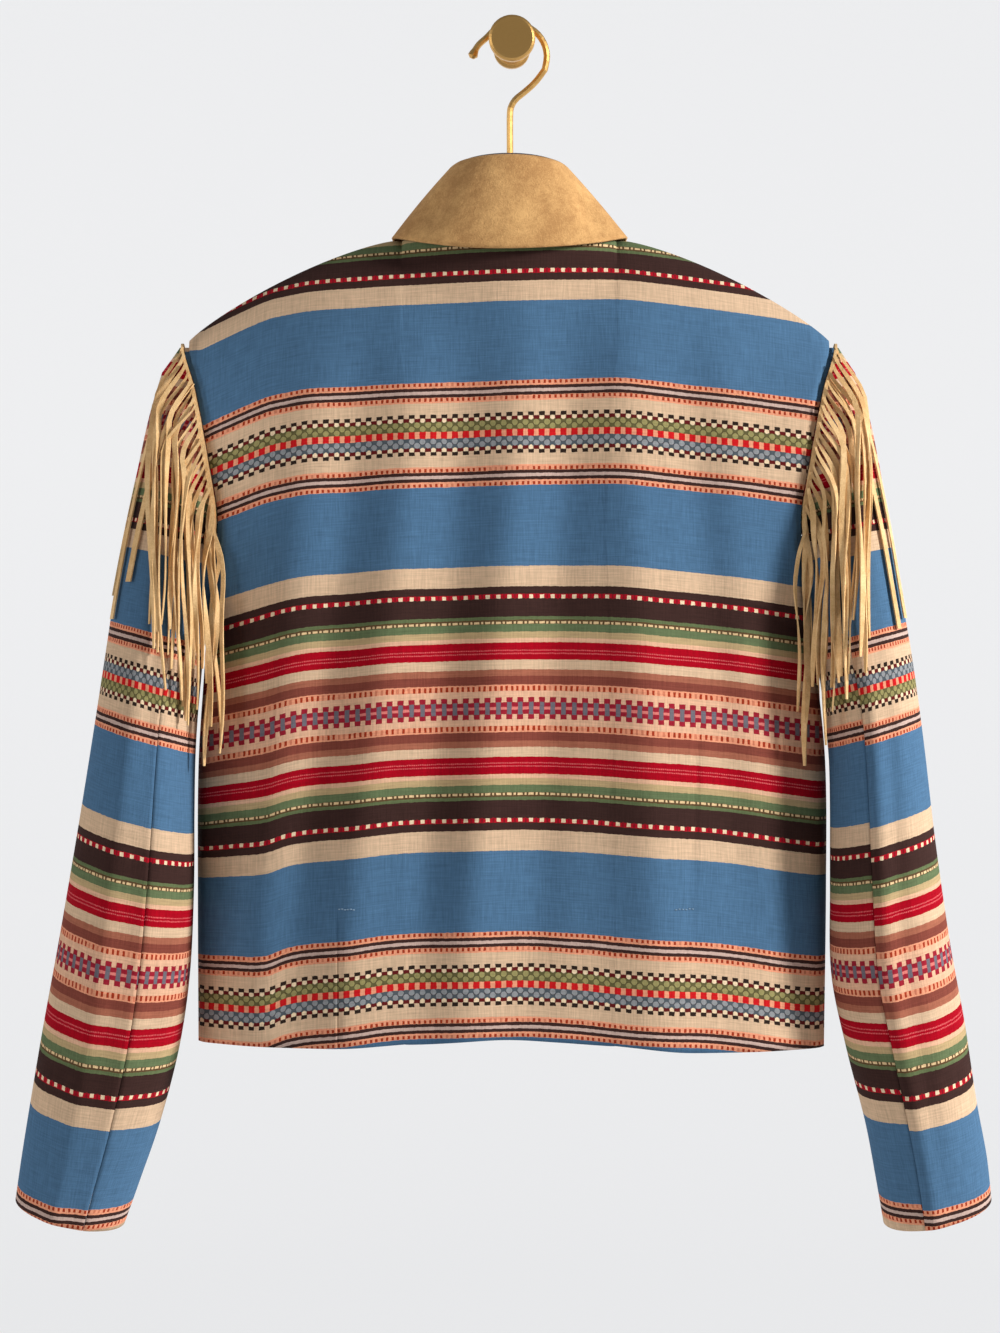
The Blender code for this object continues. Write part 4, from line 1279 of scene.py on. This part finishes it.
def add_tube(points, faces, rings):
    """Closed four-sided strip through rings of corners."""
    start = len(points)
    for ring in rings:
        points.extend(ring)
    for r in range(len(rings) - 1):
        for c in range(4):
            a = start + r * 4 + c
            b = start + r * 4 + (c + 1) % 4
            faces.append((a, b, b + 4, a + 4))
    faces.append((start + 3, start + 2, start + 1, start))
    last = start + len(rings) * 4 - 4
    faces.append((last, last + 1, last + 2, last + 3))


def strand_section(centre, width, thickness, turn):
    """Four corners of a flat strip that hangs, its width turned about the vertical."""
    along = Vector((math.cos(turn), math.sin(turn), 0)) * width / 2
    through = Vector((-math.sin(turn), math.cos(turn), 0)) * thickness / 2
    return [centre - along - through, centre + along - through,
            centre + along + through, centre - along + through]


def hanging_strand(side, face, number, draw, tree):
    """Rings of one strand, from the seam down over the sleeve head."""
    share = number / (STRANDS - 1)
    corners, out = strip_section(side, root_angle(face, blend(STRIP_TOP_Z, STRIP_LOW_Z, share)))
    root = sum(corners, Vector()) / 4
    layer = number * 2 % STRAND_LAYERS
    end_x = blend(STRAND_FIRST_X, STRAND_LAST_X, share ** STRAND_X_POWER)
    end_x += draw.uniform(-STRAND_SHIFT, STRAND_SHIFT)
    end_z = blend(*STRAND_END_Z, share) + draw.uniform(*STRAND_ENDS)
    width = draw.uniform(*STRAND_WIDTHS)
    twist = draw.uniform(-STRAND_TWIST, STRAND_TWIST)
    lean = draw.uniform(-STRAND_LEAN, STRAND_LEAN)
    sway = draw.uniform(-STRAND_SWAY, STRAND_SWAY)
    phase = draw.uniform(0.0, math.tau)
    y = (root + out * (1.0 + layer * LAYER_ROOT)).y
    rings = []
    for i in range(STRAND_RINGS):
        t = i / (STRAND_RINGS - 1)
        drop = (root.z - end_z) * t ** STRAND_DROP_POWER
        z = root.z + out.z * ROOT_ARCH * math.exp(-drop / ROOT_ARCH_FADE) - drop
        spread = ease(drop / (SPREAD_DROP + SPREAD_DROP_TOP * (1 - share))) ** SPREAD_POWER
        x = blend(root.x, HANG_X + side * end_x, spread)
        ripple = STRAND_RIPPLE * math.sin(STRAND_RIPPLE_TURNS * t + phase)
        x += (sway * math.sin(math.pi * t) + ripple) * ease(drop / SWAY_DROP)
        turn = lean * t + twist * ease((t - TWIST_START) / TWIST_SHARE)
        reach = abs(math.sin(turn)) * width / 2 + STRAND_THICKNESS / 2 + LAYER_GAP + layer * LAYER_LIFT
        for across in STRAND_RAYS:
            surface = surface_y(tree, face, x + across, z)
            if surface is not None:
                y = face * max(face * y, face * surface + reach)
        taper = 1.0 - END_TAPER * max(0.0, t - END_START) / (1 - END_START)
        narrow = blend(ROOT_WIDTH, 1.0, ease(drop / ROOT_DROP))
        rings.append(strand_section(Vector((x, y, z)), width * taper * narrow, STRAND_THICKNESS, turn))
    return rings


def over_strand(strand, draw):
    """Strand that lies over the sleeve head and down the sleeve's outer side."""
    rings = []
    side = strand.side
    width = draw.uniform(*OVER_STRAND_WIDTHS)
    for i in range(STRAND_RINGS):
        t = i / (STRAND_RINGS - 1)
        place = OVER_STRAND_REACH * t - OVER_STRAND_START
        angle = strand.angle + OVER_STRAND_TURN * t
        if place < 0:
            head = sleeve_point(side, 0, angle, sleeve_ring(0))
            point = blend(armhole_point(side, angle), head, place / OVER_STRAND_START + 1)
        else:
            point = sleeve_point(side, place, angle, sleeve_ring(place))
        turn = math.radians(angle)
        out = Vector((side * math.cos(turn), -math.sin(turn), OVER_STRAND_RISE * (1 - t)))
        point += out.normalized() * blend(*OVER_STRAND_LIFTS, t)
        if point.z < strand.end_z:
            break
        rings.append(strand_section(point, width, STRAND_THICKNESS, math.atan2(out.x, -out.y)))
    return rings


def add_fringe(side, trees, material):
    """Strip and strands of one armhole, on both its back and its front."""
    draw = random.Random(FRINGE_SEED + side)
    points = []
    faces = []
    low = root_angle(BACK, STRIP_LOW_Z)
    angles = [low * i / STRIP_RINGS for i in range(STRIP_RINGS, -STRIP_RINGS - 1, -1)]
    add_tube(points, faces, [strip_section(side, angle)[0] for angle in angles])
    for face in (BACK, FRONT):
        for number in range(STRANDS):
            add_tube(points, faces, hanging_strand(side, face, number, draw, trees[face]))
    for strand in OVER_STRANDS:
        if strand.side == side:
            add_tube(points, faces, over_strand(strand, draw))
    node = "fringe_" + SIDES[side]
    item = make_piece(node + "_strands", points, faces, material)
    shape = bmesh.new()
    shape.from_mesh(item.data)
    bmesh.ops.recalc_face_normals(shape, faces=shape.faces)
    shape.to_mesh(item.data)
    shape.free()
    item.data.set_sharp_from_angle(angle=math.radians(SHARP_TURN))
    return dress(item, "tan_suede", node)


def add_tacks(material, tree):
    """Stitched tack at the top of each vent."""
    points = []
    faces = []
    for vent in VENTS:
        for i in range(TACK_STITCHES):
            x = HANG_X + blend(vent.x, vent.tack_to, (i + TACK_START) / TACK_STITCHES)
            z = vent.z_top + TACK_RISE + TACK_UNEVEN * math.sin(i * TACK_UNEVEN_STEP)
            y = surface_y(tree, BACK, x, z) - TACK_LIFT
            rings = []
            for ring in TACK_RINGS:
                deep = TACK_DEPTH * ring.grow
                high = TACK_HALF * ring.grow
                rings.append([Vector((x + ring.x, y + dy * deep, z + dz * high)) for dy, dz in TACK_CORNERS])
            add_tube(points, faces, rings)
    return dress(make_piece("vent_tacks", points, faces, material), "striped_weave")


# Stage

def add_camera():
    data = bpy.data.cameras.new("photo_view")
    data.sensor_width = SENSOR
    data.lens = FOCAL_PX / PHOTO_HEIGHT * SENSOR
    data.clip_end = 60
    item = add_object("photo_view", data, CAMERA_PLACE)
    item.rotation_euler = (math.pi / 2, 0, 0)
    bpy.context.scene.camera = item


def add_light(light):
    data = bpy.data.lights.new(light.name, "AREA")
    data.shape = "DISK"
    data.size = light.size
    data.energy = light.power
    item = add_object(light.name, data, light.place)
    aim = Vector(LIGHT_TARGET) - Vector(light.place)
    item.rotation_euler = aim.to_track_quat("-Z", "Y").to_euler()


def sweep_material():
    """Pale sweep of grey paper with a painted glow, brighter on the side behind the jacket's front."""
    paint = Paint("pale_sweep")
    glow = paint.node("ShaderNodeMapRange", interpolation_type="SMOOTHSTEP")
    paint.feed(glow.inputs["Value"], paint.split(paint.object_place())["Y"])
    glow.inputs["From Min"].default_value = -SWEEP_RADIUS
    glow.inputs["From Max"].default_value = SWEEP_RADIUS * SWEEP_GLOW_REACH
    glow.inputs["To Min"].default_value = SWEEP_GLOW_NEAR
    glow.inputs["To Max"].default_value = SWEEP_GLOW_FAR
    paint.surface(SWEEP_GREY, 1.0, 0.0)
    paint.feed(paint.shader.inputs["Emission Color"], SWEEP_GLOW)
    paint.feed(paint.shader.inputs["Emission Strength"], glow.outputs["Result"])
    return paint.material


def add_stage():
    """Pale floor that sweeps up far round the jacket, with a soft key light from the right."""
    inner = SWEEP_RADIUS - SWEEP_CURVE
    profile = [(0.01, SWEEP_FLOOR), (inner, SWEEP_FLOOR)]
    for i in range(1, SWEEP_BENDS + 1):
        turn = math.pi / 2 * i / SWEEP_BENDS
        reach = inner + SWEEP_CURVE * math.sin(turn)
        profile.append((reach, SWEEP_FLOOR + SWEEP_CURVE * (1 - math.cos(turn))))
    profile.append((SWEEP_RADIUS, SWEEP_TOP))
    mesh = bpy.data.meshes.new("pale_sweep")
    edges = [(i, i + 1) for i in range(len(profile) - 1)]
    mesh.from_pydata([(reach, 0, z) for reach, z in profile], edges, [])
    mesh.materials.append(sweep_material())
    item = add_object("pale_sweep", mesh)
    turned = item.modifiers.new("turned", "SCREW")
    turned.steps = SWEEP_STEPS
    turned.render_steps = SWEEP_STEPS
    world = bpy.data.worlds.new("soft_sky")
    world.use_nodes = True
    sky = world.node_tree.nodes["Background"]
    sky.inputs["Color"].default_value = SKY_COLOUR
    sky.inputs["Strength"].default_value = SKY_STRENGTH
    bpy.context.scene.world = world
    for light in LIGHTS:
        add_light(light)
    bpy.context.scene.view_settings.view_transform = "Standard"


def main():
    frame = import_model()
    add_camera()
    weave = weave_material("serape_weave", 1)
    sleeve_weave = weave_material("serape_weave_sleeve", -1)
    suede = suede_material("collar_suede", "collar")
    strands = suede_material("fringe_suede", "strand")
    navy = cotton_material("navy_cotton_cloth", "navy")
    thread = cotton_material("tack_thread", "thread")
    grids = {BACK: [], FRONT: []}
    add_body(weave, grids)
    add_sleeves(sleeve_weave, grids)
    trees = {face: surface_tree(grids[face]) for face in grids}
    dress(grid_shell("collar_leaf", leaf_grid(trees), None, True, SUEDE, suede), "tan_suede", "collar")
    dress(grid_shell("collar_stand_band", stand_grid(), None, True, STAND_WALL, navy),
          "navy_cotton", "collar_stand")
    trims = [add_fringe(side, trees, strands) for side in SIDES]
    trims.append(add_tacks(thread, trees[BACK]))
    finishes = {
        "hanger": wood_material("beech"), "hanger_hook": brass_material("brass_wire", False),
        "wall_knob": brass_material("brass_turned", True),
    }
    for node, material in finishes.items():
        item = frame["nodes"][node]
        for slot in item.material_slots:
            slot.material = material
    add_stage()


main()
